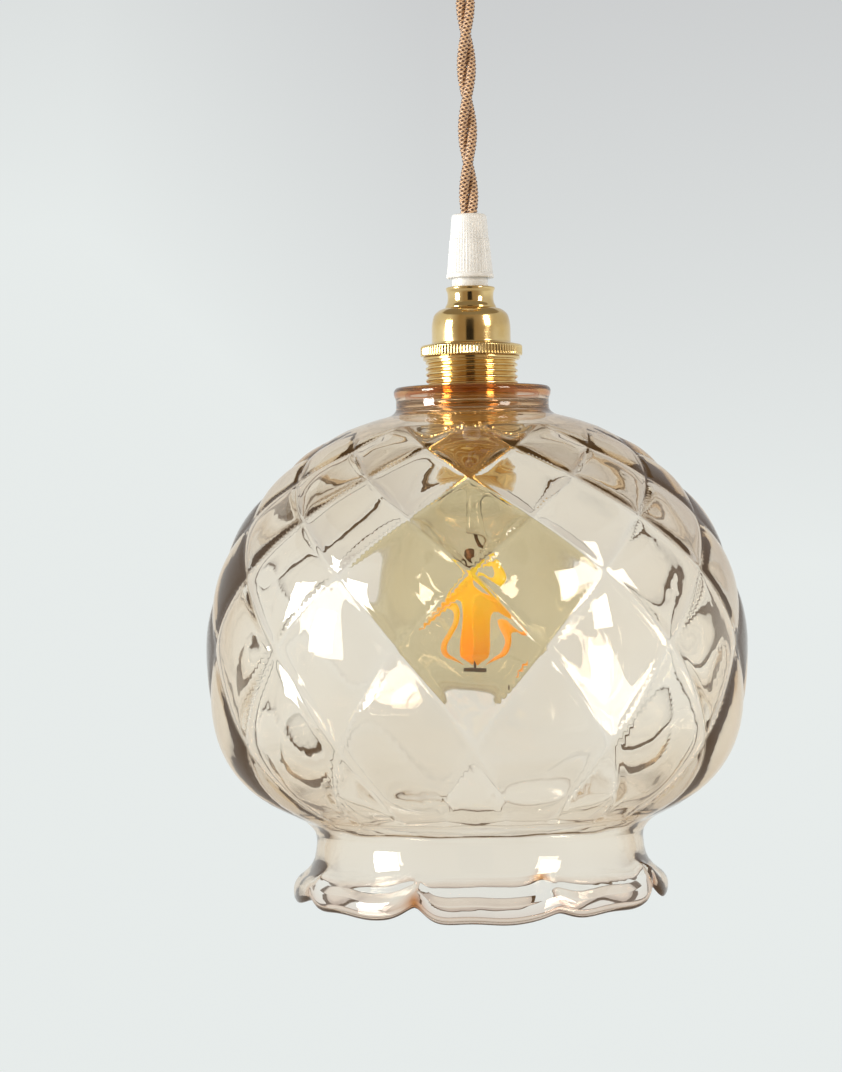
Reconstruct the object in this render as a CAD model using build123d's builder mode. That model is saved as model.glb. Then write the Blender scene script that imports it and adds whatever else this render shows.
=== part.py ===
from build123d import *
from math import cos, pi, radians, sin, tan
import os

# Pendant ceiling light: a quilted glass globe with a ruffled lip, hung by a brass E27 holder and
# a twisted textile cord from a cup rose. Millimetres. The origin is the rose's centre on the
# ceiling, +Z is up, and everything hangs below it. Most pieces are turned, so they are drawn as a
# half-section (radius, height) on the XZ plane and revolved about Z.

os.makedirs("parts", exist_ok=True)

# ---------------------------------------------------------------- driving dimensions
FIT = 0.1  # gap between a screw or thread and its hole, and between faces that turn on each other

# ceiling rose
ROSE_RADIUS, ROSE_DEPTH, ROSE_WALL, ROSE_ROUND = 50.0, 30.0, 1.2, 8.0
STRAP_LENGTH, STRAP_WIDTH, STRAP_THICKNESS, STRAP_EAR = 96.0, 16.0, 1.5, 12.0
SLOT_SPACING, SLOT_LENGTH, SLOT_WIDTH = 50.0, 12.0, 5.0
SIDE_SCREW_Z, SIDE_SCREW_RADIUS, SIDE_HEAD_RADIUS, SIDE_HEAD_HEIGHT = -7.0, 2.0, 3.6, 2.2
SIDE_SCREW_REACH = 7.0

# terminal block under the strap
BLOCK_LENGTH, BLOCK_WIDTH, BLOCK_HEIGHT = 21.0, 15.0, 13.0
WAY_X, WAY_Z, TUBE_RADIUS, TUBE_BORE, TUBE_LENGTH = 5.0, -8.0, 3.0, 1.9, 13.0
CLAMP_Y, CLAMP_RADIUS, CLAMP_TOP, CLAMP_BOTTOM = 4.0, 1.4, -10.0, -13.8

# cord outlet: the cord's clamped stop tilts in a rubber bush, and the bush in its socket
PIVOT_Z = -34.0
STOP_RADIUS, BUSH_INNER, BUSH_OUTER, SEAT_RADIUS = 9.0, 9.25, 11.35, 11.6
BUSH_LOW_DEG, BUSH_HIGH_DEG, SEAT_LOW_DEG = 54.5, 97.0, 57.0
OUTLET_BORE, OUTLET_THREAD, OUTLET_FLANGE, OUTLET_FOOT, OUTLET_MOUTH = 11.8, 14.0, 17.5, 15.0, 12.3
OUTLET_TOP, FLANGE_BOTTOM, OUTLET_BOTTOM = -24.9, -32.0, -43.5
NUT_RADIUS, NUT_HEIGHT = 19.0, 3.6

# cord: two textile strands twisted together, taken as one round tube of their outer diameter
CORD_RADIUS, CORD_TOP, CORD_BOTTOM = 4.2, -26.0, -178.0
CORE_RADIUS, LAMP_CORE_RADIUS, LAMP_CORE_X = 1.6, 1.45, 1.6

# cord grip on the holder
GRIP_TOP, GRIP_LIP_TOP, GRIP_BOTTOM = -155.6, -180.7, -182.8
GRIP_TOP_RADIUS, GRIP_FOOT_RADIUS, GRIP_LIP_RADIUS = 7.45, 9.75, 10.1
GRIP_THREAD, GRIP_JAW_TOP, GRIP_THREAD_TOP = 7.0, -161.0, -166.0
GLAND_RADIUS, GLAND_BOTTOM, GLAND_NIPPLE, NIPPLE_BOTTOM, NIPPLE_BORE = 7.65, -186.6, 4.95, -196.0, 3.4

# brass holder
NECK_TOP_RADIUS, NECK_WAIST_RADIUS, NECK_FOOT_RADIUS = 10.5, 9.7, 10.85
NECK_WAIST_Z, NECK_BOTTOM = -190.9, -195.3
DOME_BOTTOM, DOME_RADIUS, DOME_WALL, DOME_ROUND = -210.8, 16.8, 1.0, 5.0
SHELL_RADIUS, SHELL_BORE, SHELL_BOTTOM, SHELL_PITCH, THREAD_DEPTH = 19.65, 17.1, -271.2, 2.5, 1.1
THREAD_TOP, SHELL_SPIGOT_TOP, SHELL_SPIGOT_RADIUS, SHELL_SPIGOT_BORE = -219.5, -203.0, 15.7, 14.6
SET_SCREW_RADIUS = 1.5

# inside the holder
INSERT_RADIUS, INSERT_TOP, INSERT_BOTTOM = 17.0, -213.0, -237.0
LINER_BORE, LINER_BOTTOM, SOCKET_RADIUS, SOCKET_WALL, SOCKET_BOTTOM = 14.2, -268.0, 13.9, 0.45, -262.0
TERMINAL_X, TERMINAL_SIZE, TERMINAL_HEIGHT = 8.5, 6.0, 4.0
TONGUE_WIDTH, TONGUE_THICKNESS, TONGUE_TIP = 5.0, 0.5, -241.4

# shade rings on the holder's thread
RING_BORE = 19.85
UPPER_RING_RADIUS, UPPER_RING_TOP, UPPER_RING_BOTTOM = 21.6, -211.3, -216.2
UPPER_WASHER_RADIUS, UPPER_WASHER_BOTTOM = 20.7, -217.8
LOWER_RING_RADIUS, LOWER_HUB_RADIUS, LOWER_FLANGE_HEIGHT, LOWER_RING_HEIGHT = 24.0, 22.0, 2.7, 5.7
SHADE_WASHER_RADIUS, SHADE_WASHER_HEIGHT = 26.0, 1.0

# glass shade
HOLE_RADIUS = 20.9
COLLAR_TOP, COLLAR_FLOOR, COLLAR_BOTTOM = -229.1, -236.0, -240.0
COLLAR_RADIUS, COLLAR_BORE, BEAD_RADIUS = 32.5, 28.5, 33.6
GLOBE_RADIUS, EQUATOR_Z, CROWN_HEIGHT, GLASS_WALL = 113.9, -339.6, 105.0, 4.0
BELLY_DEPTH, BELLY_POWER = 79.2, 3.1
GLOBE_TOP, CREASE_Z = -240.6, -411.0
WAIST_RADIUS, WAIST_Z, LIP_RADIUS, LIP_Z, LIP_BOTTOM = 69.1, -420.0, 79.5, -441.5, -453.0

# bulb: an 80 mm globe with an E27 cap
TIP_RADIUS, TIP_TOP, TIP_BOTTOM = 4.6, -241.5, -242.7
CAP_RADIUS, CAP_TOP, CAP_BOTTOM, CAP_WALL, CAP_PITCH = 12.9, -247.5, -267.5, 0.5, 3.629
BULB_RADIUS, BULB_CENTRE, BULB_NECK, BULB_WALL, BULB_NECK_ROUND = 40.0, -319.5, 11.8, 0.9, 14.0
STEM_RADIUS, STEM_BOTTOM = 2.4, -291.0
LEAD_RADIUS, HOLDER_RADIUS, HOLDER_HEIGHT = 0.5, 4.6, 1.6
FILAMENT_TOP, FILAMENT_BOTTOM = -295.0, -351.0
FILAMENT_COUNT, FILAMENT_WIDTH, FILAMENT_THICKNESS, FILAMENT_START = 4, 7.0, 1.2, 12.0


def band(inner, outer, top, bottom):
    """Rectangle between two radii and two heights, in the half-section sketch being drawn."""
    with Locations(((inner + outer) / 2, (top + bottom) / 2)):
        Rectangle(outer - inner, top - bottom)


def seat_point(radius, from_down_deg):
    """Point of the half-section on a sphere about the pivot, by its angle from straight down."""
    angle = radians(from_down_deg)
    return radius * sin(angle), PIVOT_Z - radius * cos(angle)


def corner_radii(points):
    """Arc radius for each inner corner of a route: 0.45 of the shorter run over tan(turn / 2)."""
    runs = [Vector(*b) - Vector(*a) for a, b in zip(points, points[1:])]
    return [
        0.45 * min(before.length, after.length) / tan(radians(before.get_angle(after)) / 2)
        for before, after in zip(runs, runs[1:])
    ]


# ================================================================ ceiling rose
# ceiling_bracket: a steel strap with two slots for the ceiling screws. Its ends bend down and
# take the screws that hold the cover.
with BuildPart() as ceiling_bracket:
    with BuildSketch():
        Rectangle(STRAP_LENGTH, STRAP_WIDTH)
        with GridLocations(SLOT_SPACING, 0, 2, 1):
            SlotOverall(SLOT_LENGTH, SLOT_WIDTH, mode=Mode.SUBTRACT)
    extrude(amount=-STRAP_THICKNESS)
    with BuildSketch():
        with GridLocations(STRAP_LENGTH - STRAP_THICKNESS, 0, 2, 1):
            Rectangle(STRAP_THICKNESS, STRAP_WIDTH)
    extrude(amount=-STRAP_EAR)
    with BuildSketch(Plane.YZ):
        with Locations((0, SIDE_SCREW_Z)):
            Circle(SIDE_SCREW_RADIUS + FIT)
    extrude(amount=ROSE_RADIUS, both=True, mode=Mode.SUBTRACT)
ceiling_bracket.part.label = "ceiling_bracket"
export_step(ceiling_bracket.part, "parts/ceiling_bracket.step")

# rose_cover: the spun brass cup that hides the wiring. The outlet goes through its floor.
with BuildPart() as rose_cover:
    with BuildSketch():
        Circle(ROSE_RADIUS)
    extrude(amount=-ROSE_DEPTH)
    fillet(rose_cover.edges().sort_by(Axis.Z)[0], ROSE_ROUND)
    offset(amount=-ROSE_WALL, openings=rose_cover.faces().sort_by(Axis.Z)[-1])
    with BuildSketch(Plane.XY.offset(-ROSE_DEPTH)):
        Circle(OUTLET_THREAD + FIT)
    extrude(amount=ROSE_DEPTH / 2, mode=Mode.SUBTRACT)
    with BuildSketch(Plane.YZ):
        with Locations((0, SIDE_SCREW_Z)):
            Circle(SIDE_SCREW_RADIUS + FIT)
    extrude(amount=ROSE_RADIUS + ROSE_WALL, both=True, mode=Mode.SUBTRACT)
rose_cover.part.label = "rose_cover"
export_step(rose_cover.part, "parts/rose_cover.step")

# rose_screws: two domed side screws, as one group.
with BuildPart() as rose_screws:
    with BuildSketch(Plane.YZ.offset(ROSE_RADIUS)):
        with Locations((0, SIDE_SCREW_Z)):
            Circle(SIDE_HEAD_RADIUS)
    extrude(amount=SIDE_HEAD_HEIGHT)
    fillet(rose_screws.edges().sort_by(Axis.X)[-1], SIDE_HEAD_HEIGHT * 0.6)
    with BuildSketch(Plane.YZ.offset(ROSE_RADIUS)):
        with Locations((0, SIDE_SCREW_Z)):
            Circle(SIDE_SCREW_RADIUS)
    extrude(amount=-SIDE_SCREW_REACH)
    mirror(about=Plane.YZ)
rose_screws.part.label = "rose_screws"
export_step(rose_screws.part, "parts/rose_screws.step")

# terminal_block: a nylon two-way block screwed up against the strap.
block_top = -STRAP_THICKNESS
with BuildPart() as terminal_block:
    with BuildSketch(Plane.XY.offset(block_top)):
        RectangleRounded(BLOCK_LENGTH, BLOCK_WIDTH, 1.5)
    extrude(amount=-BLOCK_HEIGHT)
    with BuildSketch(Plane.XZ):
        with Locations((-WAY_X, WAY_Z), (WAY_X, WAY_Z)):
            Circle(TUBE_RADIUS)
    extrude(amount=BLOCK_WIDTH, both=True, mode=Mode.SUBTRACT)
    with BuildSketch(Plane.XY.offset(block_top - BLOCK_HEIGHT)):
        with GridLocations(2 * WAY_X, 2 * CLAMP_Y, 2, 2):
            Circle(CLAMP_RADIUS + FIT)
    extrude(amount=WAY_Z - block_top + BLOCK_HEIGHT, mode=Mode.SUBTRACT)
terminal_block.part.label = "terminal_block"
export_step(terminal_block.part, "parts/terminal_block.step")

# terminal_tubes: the brass tubes in the block, each drilled for its two clamp screws.
with BuildPart() as terminal_tubes:
    with BuildSketch(Plane.XZ):
        with Locations((-WAY_X, WAY_Z), (WAY_X, WAY_Z)):
            Circle(TUBE_RADIUS)
            Circle(TUBE_BORE, mode=Mode.SUBTRACT)
    extrude(amount=TUBE_LENGTH / 2, both=True)
    with BuildSketch(Plane.XY.offset(WAY_Z - 2 * TUBE_RADIUS)):
        with GridLocations(2 * WAY_X, 2 * CLAMP_Y, 2, 2):
            Circle(CLAMP_RADIUS + FIT)
    extrude(amount=2 * TUBE_RADIUS, mode=Mode.SUBTRACT)
terminal_tubes.part.label = "terminal_tubes"
export_step(terminal_tubes.part, "parts/terminal_tubes.step")

# terminal_screws: four slotted clamp screws, reached from below.
with BuildPart() as terminal_screws:
    with BuildSketch(Plane.XY.offset(CLAMP_BOTTOM)):
        with GridLocations(2 * WAY_X, 2 * CLAMP_Y, 2, 2):
            Circle(CLAMP_RADIUS)
    extrude(amount=CLAMP_TOP - CLAMP_BOTTOM)
    with BuildSketch(Plane.XY.offset(CLAMP_BOTTOM)):
        with GridLocations(2 * WAY_X, 2 * CLAMP_Y, 2, 2):
            Rectangle(2 * CLAMP_RADIUS, 0.5)
    extrude(amount=0.7, mode=Mode.SUBTRACT)
terminal_screws.part.label = "terminal_screws"
export_step(terminal_screws.part, "parts/terminal_screws.step")

# rose_cores: the cord's two cores, which rise from its stop and turn into the block.
core_start = PIVOT_Z + STOP_RADIUS + 0.6
with BuildPart() as rose_cores:
    for side in (-1, 1):
        core_points = [
            (side * 2.2, 0, core_start),
            (side * 2.9, -2.0, -18.4),
            (side * 4.2, -10.5, -17.2),
            (side * WAY_X, -15.0, -13.2),
            (side * WAY_X, -13.6, WAY_Z),
            (side * WAY_X, -0.8, WAY_Z),
        ]
        print("core bend radii:", [round(radius, 1) for radius in corner_radii(core_points)])
        with BuildLine() as core_route:
            FilletPolyline(*core_points, radius=corner_radii(core_points))
        with BuildSketch(Plane(origin=core_route.line @ 0, z_dir=core_route.line % 0)):
            Circle(CORE_RADIUS)
        sweep()
rose_cores.part.label = "rose_cores"
export_step(rose_cores.part, "parts/rose_cores.step")

# outlet_socket: the nylon outlet in the cover's floor. Inside, a spherical seat narrows and then
# opens to a bell mouth, so the cord can lean without touching it.
seat_edge = seat_point(SEAT_RADIUS, SEAT_LOW_DEG)
with BuildPart() as outlet_socket:
    with BuildSketch(Plane.XZ):
        with BuildLine():
            Polyline(
                (SEAT_RADIUS, PIVOT_Z),
                (OUTLET_BORE, PIVOT_Z + 1),
                (OUTLET_BORE, OUTLET_TOP),
                (OUTLET_THREAD, OUTLET_TOP),
                (OUTLET_THREAD, -ROSE_DEPTH),
                (OUTLET_FLANGE, -ROSE_DEPTH),
                (OUTLET_FLANGE, FLANGE_BOTTOM),
                (OUTLET_FOOT, OUTLET_BOTTOM),
                (OUTLET_MOUTH, OUTLET_BOTTOM),
                seat_edge,
            )
            seat_middle = seat_point(SEAT_RADIUS, (SEAT_LOW_DEG + 90) / 2)
            ThreePointArc(seat_edge, seat_middle, (SEAT_RADIUS, PIVOT_Z))
        make_face()
    revolve(axis=Axis.Z)
outlet_socket.part.label = "outlet_socket"
export_step(outlet_socket.part, "parts/outlet_socket.step")

# outlet_nut: the eight-sided nut that clamps the outlet to the cover's floor.
with BuildPart() as outlet_nut:
    with BuildSketch(Plane.XY.offset(-ROSE_DEPTH + ROSE_WALL)):
        RegularPolygon(NUT_RADIUS, 8)
        Circle(OUTLET_THREAD + FIT, mode=Mode.SUBTRACT)
    extrude(amount=NUT_HEIGHT)
outlet_nut.part.label = "outlet_nut"
export_step(outlet_nut.part, "parts/outlet_nut.step")

# outlet_bush: a rubber ring with spherical faces, between the seat and the cord's stop.
bush_angles = (BUSH_LOW_DEG, (BUSH_LOW_DEG + BUSH_HIGH_DEG) / 2, BUSH_HIGH_DEG)
with BuildPart() as outlet_bush:
    with BuildSketch(Plane.XZ):
        with BuildLine():
            outside = ThreePointArc(*[seat_point(BUSH_OUTER, angle) for angle in bush_angles])
            inside = ThreePointArc(*[seat_point(BUSH_INNER, angle) for angle in bush_angles])
            Line(outside @ 0, inside @ 0)
            Line(outside @ 1, inside @ 1)
        make_face()
    revolve(axis=Axis.Z)
outlet_bush.part.label = "outlet_bush"
export_step(outlet_bush.part, "parts/outlet_bush.step")

# ================================================================ cord and its grip
# cord_stop: a nylon ball clamped on the cord's end. It rests in the bush and carries the lamp.
with BuildPart() as cord_stop:
    with Locations((0, 0, PIVOT_Z)):
        Sphere(STOP_RADIUS)
        Cylinder(CORD_RADIUS, 3 * STOP_RADIUS, mode=Mode.SUBTRACT)
cord_stop.part.label = "cord_stop"
export_step(cord_stop.part, "parts/cord_stop.step")

# cord: hangs straight under the lamp's weight, from the stop to the grip.
with BuildPart() as cord:
    with BuildSketch(Plane.XY.offset(CORD_BOTTOM)):
        Circle(CORD_RADIUS)
    extrude(amount=CORD_TOP - CORD_BOTTOM)
cord_section, cord_length = pi * CORD_RADIUS**2, CORD_TOP - CORD_BOTTOM
print("cord volume over section times length:", cord.part.volume / (cord_section * cord_length))
cord.part.label = "cord"
export_step(cord.part, "parts/cord.step")

# grip_nut: the tall tapered nylon nut that squeezes the jaws onto the cord.
with BuildPart() as grip_nut:
    with BuildSketch(Plane.XZ):
        with BuildLine():
            Polyline(
                (CORD_RADIUS + FIT, GRIP_TOP),
                (GRIP_TOP_RADIUS, GRIP_TOP),
                (GRIP_FOOT_RADIUS, GRIP_LIP_TOP),
                (GRIP_LIP_RADIUS, GRIP_LIP_TOP - 0.6),
                (GRIP_LIP_RADIUS, GRIP_BOTTOM),
                (GRIP_THREAD, GRIP_BOTTOM),
                (GRIP_THREAD, GRIP_THREAD_TOP),
                (CORD_RADIUS + FIT, GRIP_JAW_TOP + 1),
                close=True,
            )
        make_face()
    revolve(axis=Axis.Z)
    fillet(grip_nut.edges().group_by(Axis.Z)[-1].sort_by(SortBy.RADIUS)[-1], 0.8)
grip_nut.part.label = "grip_nut"
export_step(grip_nut.part, "parts/grip_nut.step")

# grip_gland: jaws and thread inside the nut, a collar below it, and the nipple into the holder.
with BuildPart() as grip_gland:
    with BuildSketch(Plane.XZ):
        with BuildLine():
            Polyline(
                (CORD_RADIUS, GRIP_JAW_TOP - 1),
                (CORD_RADIUS + 0.8, GRIP_JAW_TOP - 1),
                (GRIP_THREAD - FIT, GRIP_THREAD_TOP - 1.5),
                (GRIP_THREAD - FIT, GRIP_BOTTOM),
                (GLAND_RADIUS, GRIP_BOTTOM),
                (GLAND_RADIUS, GLAND_BOTTOM),
                (GLAND_NIPPLE, GLAND_BOTTOM),
                (GLAND_NIPPLE, NIPPLE_BOTTOM),
                (NIPPLE_BORE, NIPPLE_BOTTOM),
                (NIPPLE_BORE, CORD_BOTTOM),
                (CORD_RADIUS, CORD_BOTTOM),
                close=True,
            )
        make_face()
    revolve(axis=Axis.Z)
grip_gland.part.label = "grip_gland"
export_step(grip_gland.part, "parts/grip_gland.step")

# ================================================================ holder
# holder_cap: the turned brass neck and dome. A set screw through its back locks the nipple.
with BuildPart() as holder_cap:
    with BuildSketch(Plane.XZ):
        with BuildLine():
            Spline(
                (NECK_TOP_RADIUS, GLAND_BOTTOM - 0.8),
                (NECK_WAIST_RADIUS, NECK_WAIST_Z),
                (NECK_FOOT_RADIUS, NECK_BOTTOM),
            )
            Line((NECK_FOOT_RADIUS, NECK_BOTTOM), (DOME_RADIUS - DOME_ROUND, NECK_BOTTOM))
            shoulder = ThreePointArc(
                (DOME_RADIUS - DOME_ROUND, NECK_BOTTOM),
                (
                    DOME_RADIUS - DOME_ROUND + DOME_ROUND * sin(pi / 4),
                    NECK_BOTTOM - DOME_ROUND + DOME_ROUND * cos(pi / 4),
                ),
                (DOME_RADIUS, NECK_BOTTOM - DOME_ROUND),
            )
            Polyline(
                shoulder @ 1,
                (DOME_RADIUS, DOME_BOTTOM),
                (SHELL_SPIGOT_RADIUS + FIT, DOME_BOTTOM),
                (SHELL_SPIGOT_RADIUS + FIT, NECK_BOTTOM - DOME_ROUND),
                (DOME_RADIUS - DOME_ROUND, NECK_BOTTOM - 2 * DOME_WALL),
                (GLAND_NIPPLE, NECK_BOTTOM - 2 * DOME_WALL),
                (GLAND_NIPPLE, GLAND_BOTTOM),
                (NECK_TOP_RADIUS, GLAND_BOTTOM),
                (NECK_TOP_RADIUS, GLAND_BOTTOM - 0.8),
            )
        make_face()
    revolve(axis=Axis.Z)
    with BuildSketch(Plane.XZ):
        with Locations((0, NECK_WAIST_Z)):
            Circle(SET_SCREW_RADIUS + FIT)
    extrude(amount=-DOME_RADIUS, mode=Mode.SUBTRACT)
holder_cap.part.label = "holder_cap"
export_step(holder_cap.part, "parts/holder_cap.step")

# neck_screw: the headless set screw in the back of the neck.
with BuildPart() as neck_screw:
    with BuildSketch(Plane.XZ.offset(-GLAND_NIPPLE)):
        with Locations((0, NECK_WAIST_Z)):
            Circle(SET_SCREW_RADIUS)
    extrude(amount=-(NECK_WAIST_RADIUS - GLAND_NIPPLE - 0.3))
neck_screw.part.label = "neck_screw"
export_step(neck_screw.part, "parts/neck_screw.step")

# holder_shell: the brass sleeve that the shade rings screw onto. Its M40 thread is drawn as
# closed grooves at the thread's pitch.
thread_count = int((THREAD_TOP - SHELL_BOTTOM) / SHELL_PITCH)
with BuildPart() as holder_shell:
    with BuildSketch(Plane.XZ):
        band(SHELL_BORE, SHELL_RADIUS, DOME_BOTTOM, SHELL_BOTTOM)
        band(SHELL_SPIGOT_BORE, SHELL_RADIUS, DOME_BOTTOM, DOME_BOTTOM - 1.5)
        band(SHELL_SPIGOT_BORE, SHELL_SPIGOT_RADIUS, SHELL_SPIGOT_TOP, DOME_BOTTOM)
        for turn in range(thread_count):
            root_z = THREAD_TOP - turn * SHELL_PITCH
            with BuildLine():
                Polyline(
                    (SHELL_RADIUS + FIT, root_z + 0.4 * SHELL_PITCH),
                    (SHELL_RADIUS - THREAD_DEPTH, root_z),
                    (SHELL_RADIUS + FIT, root_z - 0.4 * SHELL_PITCH),
                    close=True,
                )
            make_face(mode=Mode.SUBTRACT)
    revolve(axis=Axis.Z)
holder_shell.part.label = "holder_shell"
export_step(holder_shell.part, "parts/holder_shell.step")

# holder_insulator: the ceramic insert that carries the contacts.
with BuildPart() as holder_insulator:
    with BuildSketch(Plane.XY.offset(INSERT_TOP)):
        Circle(INSERT_RADIUS)
    extrude(amount=INSERT_BOTTOM - INSERT_TOP)
    with BuildSketch(Plane.XY.offset(INSERT_TOP)):
        Rectangle(2 * TERMINAL_X - TERMINAL_SIZE - 2, TERMINAL_SIZE)
    extrude(amount=-TERMINAL_SIZE, mode=Mode.SUBTRACT)
holder_insulator.part.label = "holder_insulator"
export_step(holder_insulator.part, "parts/holder_insulator.step")

# holder_terminals: two brass posts on the insert, bored for the cores.
with BuildPart() as holder_terminals:
    with BuildSketch(Plane.XY.offset(INSERT_TOP)):
        with GridLocations(2 * TERMINAL_X, 0, 2, 1):
            RectangleRounded(TERMINAL_SIZE, TERMINAL_SIZE, 0.6)
    extrude(amount=TERMINAL_HEIGHT)
    with BuildSketch(Plane.XY.offset(INSERT_TOP + TERMINAL_HEIGHT)):
        with GridLocations(2 * TERMINAL_X, 0, 2, 1):
            Circle(LAMP_CORE_RADIUS)
    extrude(amount=-TERMINAL_HEIGHT + 1, mode=Mode.SUBTRACT)
holder_terminals.part.label = "holder_terminals"
export_step(holder_terminals.part, "parts/holder_terminals.step")

# lamp_cores: the cord's cores below its jacket, through the nipple and out to the two posts.
with BuildPart() as lamp_cores:
    for side in (-1, 1):
        core_points = [
            (side * LAMP_CORE_X, 0, CORD_BOTTOM),
            (side * LAMP_CORE_X, 0, NIPPLE_BOTTOM - 4),
            (side * TERMINAL_X, 0, INSERT_TOP + TERMINAL_HEIGHT + 5),
            (side * TERMINAL_X, 0, INSERT_TOP + 1),
        ]
        print("core bend radii:", [round(radius, 1) for radius in corner_radii(core_points)])
        with BuildLine() as core_route:
            FilletPolyline(*core_points, radius=corner_radii(core_points))
        with BuildSketch(Plane(origin=core_route.line @ 0, z_dir=core_route.line % 0)):
            Circle(LAMP_CORE_RADIUS)
        sweep()
lamp_cores.part.label = "lamp_cores"
export_step(lamp_cores.part, "parts/lamp_cores.step")

# shell_liner: the insulating sleeve between the live screw shell and the brass.
with BuildPart() as shell_liner:
    with BuildSketch(Plane.XZ):
        band(LINER_BORE, INSERT_RADIUS, INSERT_BOTTOM, LINER_BOTTOM)
    revolve(axis=Axis.Z)
shell_liner.part.label = "shell_liner"
export_step(shell_liner.part, "parts/shell_liner.step")

# screw_shell: the pressed E27 screw shell, with its flange against the insert.
with BuildPart() as screw_shell:
    with BuildSketch(Plane.XZ):
        band(SOCKET_RADIUS - SOCKET_WALL, SOCKET_RADIUS, INSERT_BOTTOM, SOCKET_BOTTOM)
        band(8.5, SOCKET_RADIUS, INSERT_BOTTOM, INSERT_BOTTOM - 2 * SOCKET_WALL)
    revolve(axis=Axis.Z)
screw_shell.part.label = "screw_shell"
export_step(screw_shell.part, "parts/screw_shell.step")

# centre_contact: the sprung bronze tongue that meets the bulb's tip.
with BuildPart() as centre_contact:
    with BuildSketch(Plane.XZ):
        with BuildLine():
            Polyline(
                (-7.5, INSERT_BOTTOM),
                (-4.0, INSERT_BOTTOM),
                (1.0, TONGUE_TIP + TONGUE_THICKNESS),
                (4.0, TONGUE_TIP + TONGUE_THICKNESS),
                (4.0, TONGUE_TIP),
                (0.8, TONGUE_TIP),
                (-4.2, INSERT_BOTTOM - TONGUE_THICKNESS),
                (-7.5, INSERT_BOTTOM - TONGUE_THICKNESS),
                close=True,
            )
        make_face()
    extrude(amount=TONGUE_WIDTH / 2, both=True)
centre_contact.part.label = "centre_contact"
export_step(centre_contact.part, "parts/centre_contact.step")

# ================================================================ shade rings and shade
# upper_ring: the knurled ring, run up under the dome. Its grooves are cut round the edge.
with BuildPart() as upper_ring:
    with BuildSketch(Plane.XZ):
        band(RING_BORE, UPPER_RING_RADIUS, UPPER_RING_TOP, UPPER_RING_BOTTOM)
    revolve(axis=Axis.Z)
    chamfer(upper_ring.edges().filter_by(GeomType.CIRCLE).sort_by(SortBy.RADIUS)[-2:], 0.4)
    with BuildSketch(Plane.XY.offset(UPPER_RING_BOTTOM)):
        with PolarLocations(UPPER_RING_RADIUS, 60):
            Circle(0.5)
    extrude(amount=UPPER_RING_TOP - UPPER_RING_BOTTOM, mode=Mode.SUBTRACT)
upper_ring.part.label = "upper_ring"
export_step(upper_ring.part, "parts/upper_ring.step")

# upper_ring_washer: the brass washer that travels under the ring without turning.
with BuildPart() as upper_ring_washer:
    with BuildSketch(Plane.XZ):
        band(RING_BORE, UPPER_WASHER_RADIUS, UPPER_RING_BOTTOM - FIT, UPPER_WASHER_BOTTOM)
    revolve(axis=Axis.Z)
upper_ring_washer.part.label = "upper_ring_washer"
export_step(upper_ring_washer.part, "parts/upper_ring_washer.step")


def globe_radius(z, inset):
    """Radius of the globe at a height: an ellipse above the equator, a fuller curve below it."""
    rise, depth, power = z - EQUATOR_Z, CROWN_HEIGHT, 2.0
    if rise < 0:
        rise, depth, power = -rise, BELLY_DEPTH, BELLY_POWER
    return (GLOBE_RADIUS - inset) * (1 - (rise / (depth - inset)) ** power) ** (1 / power)


def globe_points(top, bottom, inset):
    """Nine points down the globe, closer together towards both ends where it curves most."""
    middle, half = (top + bottom) / 2, (top - bottom) / 2
    heights = [middle + half * cos(step * pi / 8) for step in range(9)]
    return [(globe_radius(z, inset), z) for z in heights]


# shade: one blown piece. A beaded collar stands round the hole for the holder, the globe swells
# to its equator, creases into a waist, and ends in a thick flared lip.
outer_globe = globe_points(GLOBE_TOP, CREASE_Z, 0)
inner_globe = globe_points(COLLAR_BOTTOM - GLASS_WALL, CREASE_Z + 1.7, GLASS_WALL)
with BuildPart() as shade:
    with BuildSketch(Plane.XZ):
        with BuildLine():
            Polyline(
                inner_globe[0],
                (SHADE_WASHER_RADIUS, COLLAR_BOTTOM),
                (HOLE_RADIUS, COLLAR_BOTTOM),
                (HOLE_RADIUS, COLLAR_FLOOR),
                (COLLAR_BORE, COLLAR_FLOOR),
                (COLLAR_BORE, COLLAR_TOP - 1.5),
                (COLLAR_BORE + 1.5, COLLAR_TOP),
                (BEAD_RADIUS - 1.5, COLLAR_TOP),
                (BEAD_RADIUS, COLLAR_TOP - 1.5),
                (BEAD_RADIUS, COLLAR_TOP - 3.5),
                (COLLAR_RADIUS, COLLAR_TOP - 5.5),
                (COLLAR_RADIUS, COLLAR_BOTTOM + 0.6),
                outer_globe[0],
            )
            Spline(*outer_globe)
            Spline(
                outer_globe[-1],
                (WAIST_RADIUS, WAIST_Z),
                (WAIST_RADIUS + 4.4, WAIST_Z - 12),
                (LIP_RADIUS, LIP_Z),
            )
            lip_side = (LIP_RADIUS - 1.2, LIP_BOTTOM + 3)
            ThreePointArc((LIP_RADIUS, LIP_Z), lip_side, (LIP_RADIUS - 5, LIP_BOTTOM))
            ThreePointArc(
                (LIP_RADIUS - 5, LIP_BOTTOM),
                (LIP_RADIUS - 8.4, LIP_BOTTOM + 3),
                (LIP_RADIUS - 9.5, LIP_Z + 1),
            )
            Spline(
                (LIP_RADIUS - 9.5, LIP_Z + 1),
                (WAIST_RADIUS - GLASS_WALL, WAIST_Z - 6),
                (WAIST_RADIUS - GLASS_WALL, WAIST_Z + 3),
                inner_globe[-1],
            )
            Spline(*inner_globe[::-1])
        make_face()
    revolve(axis=Axis.Z)
shade.part.label = "shade"
export_step(shade.part, "parts/shade.step")

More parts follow.
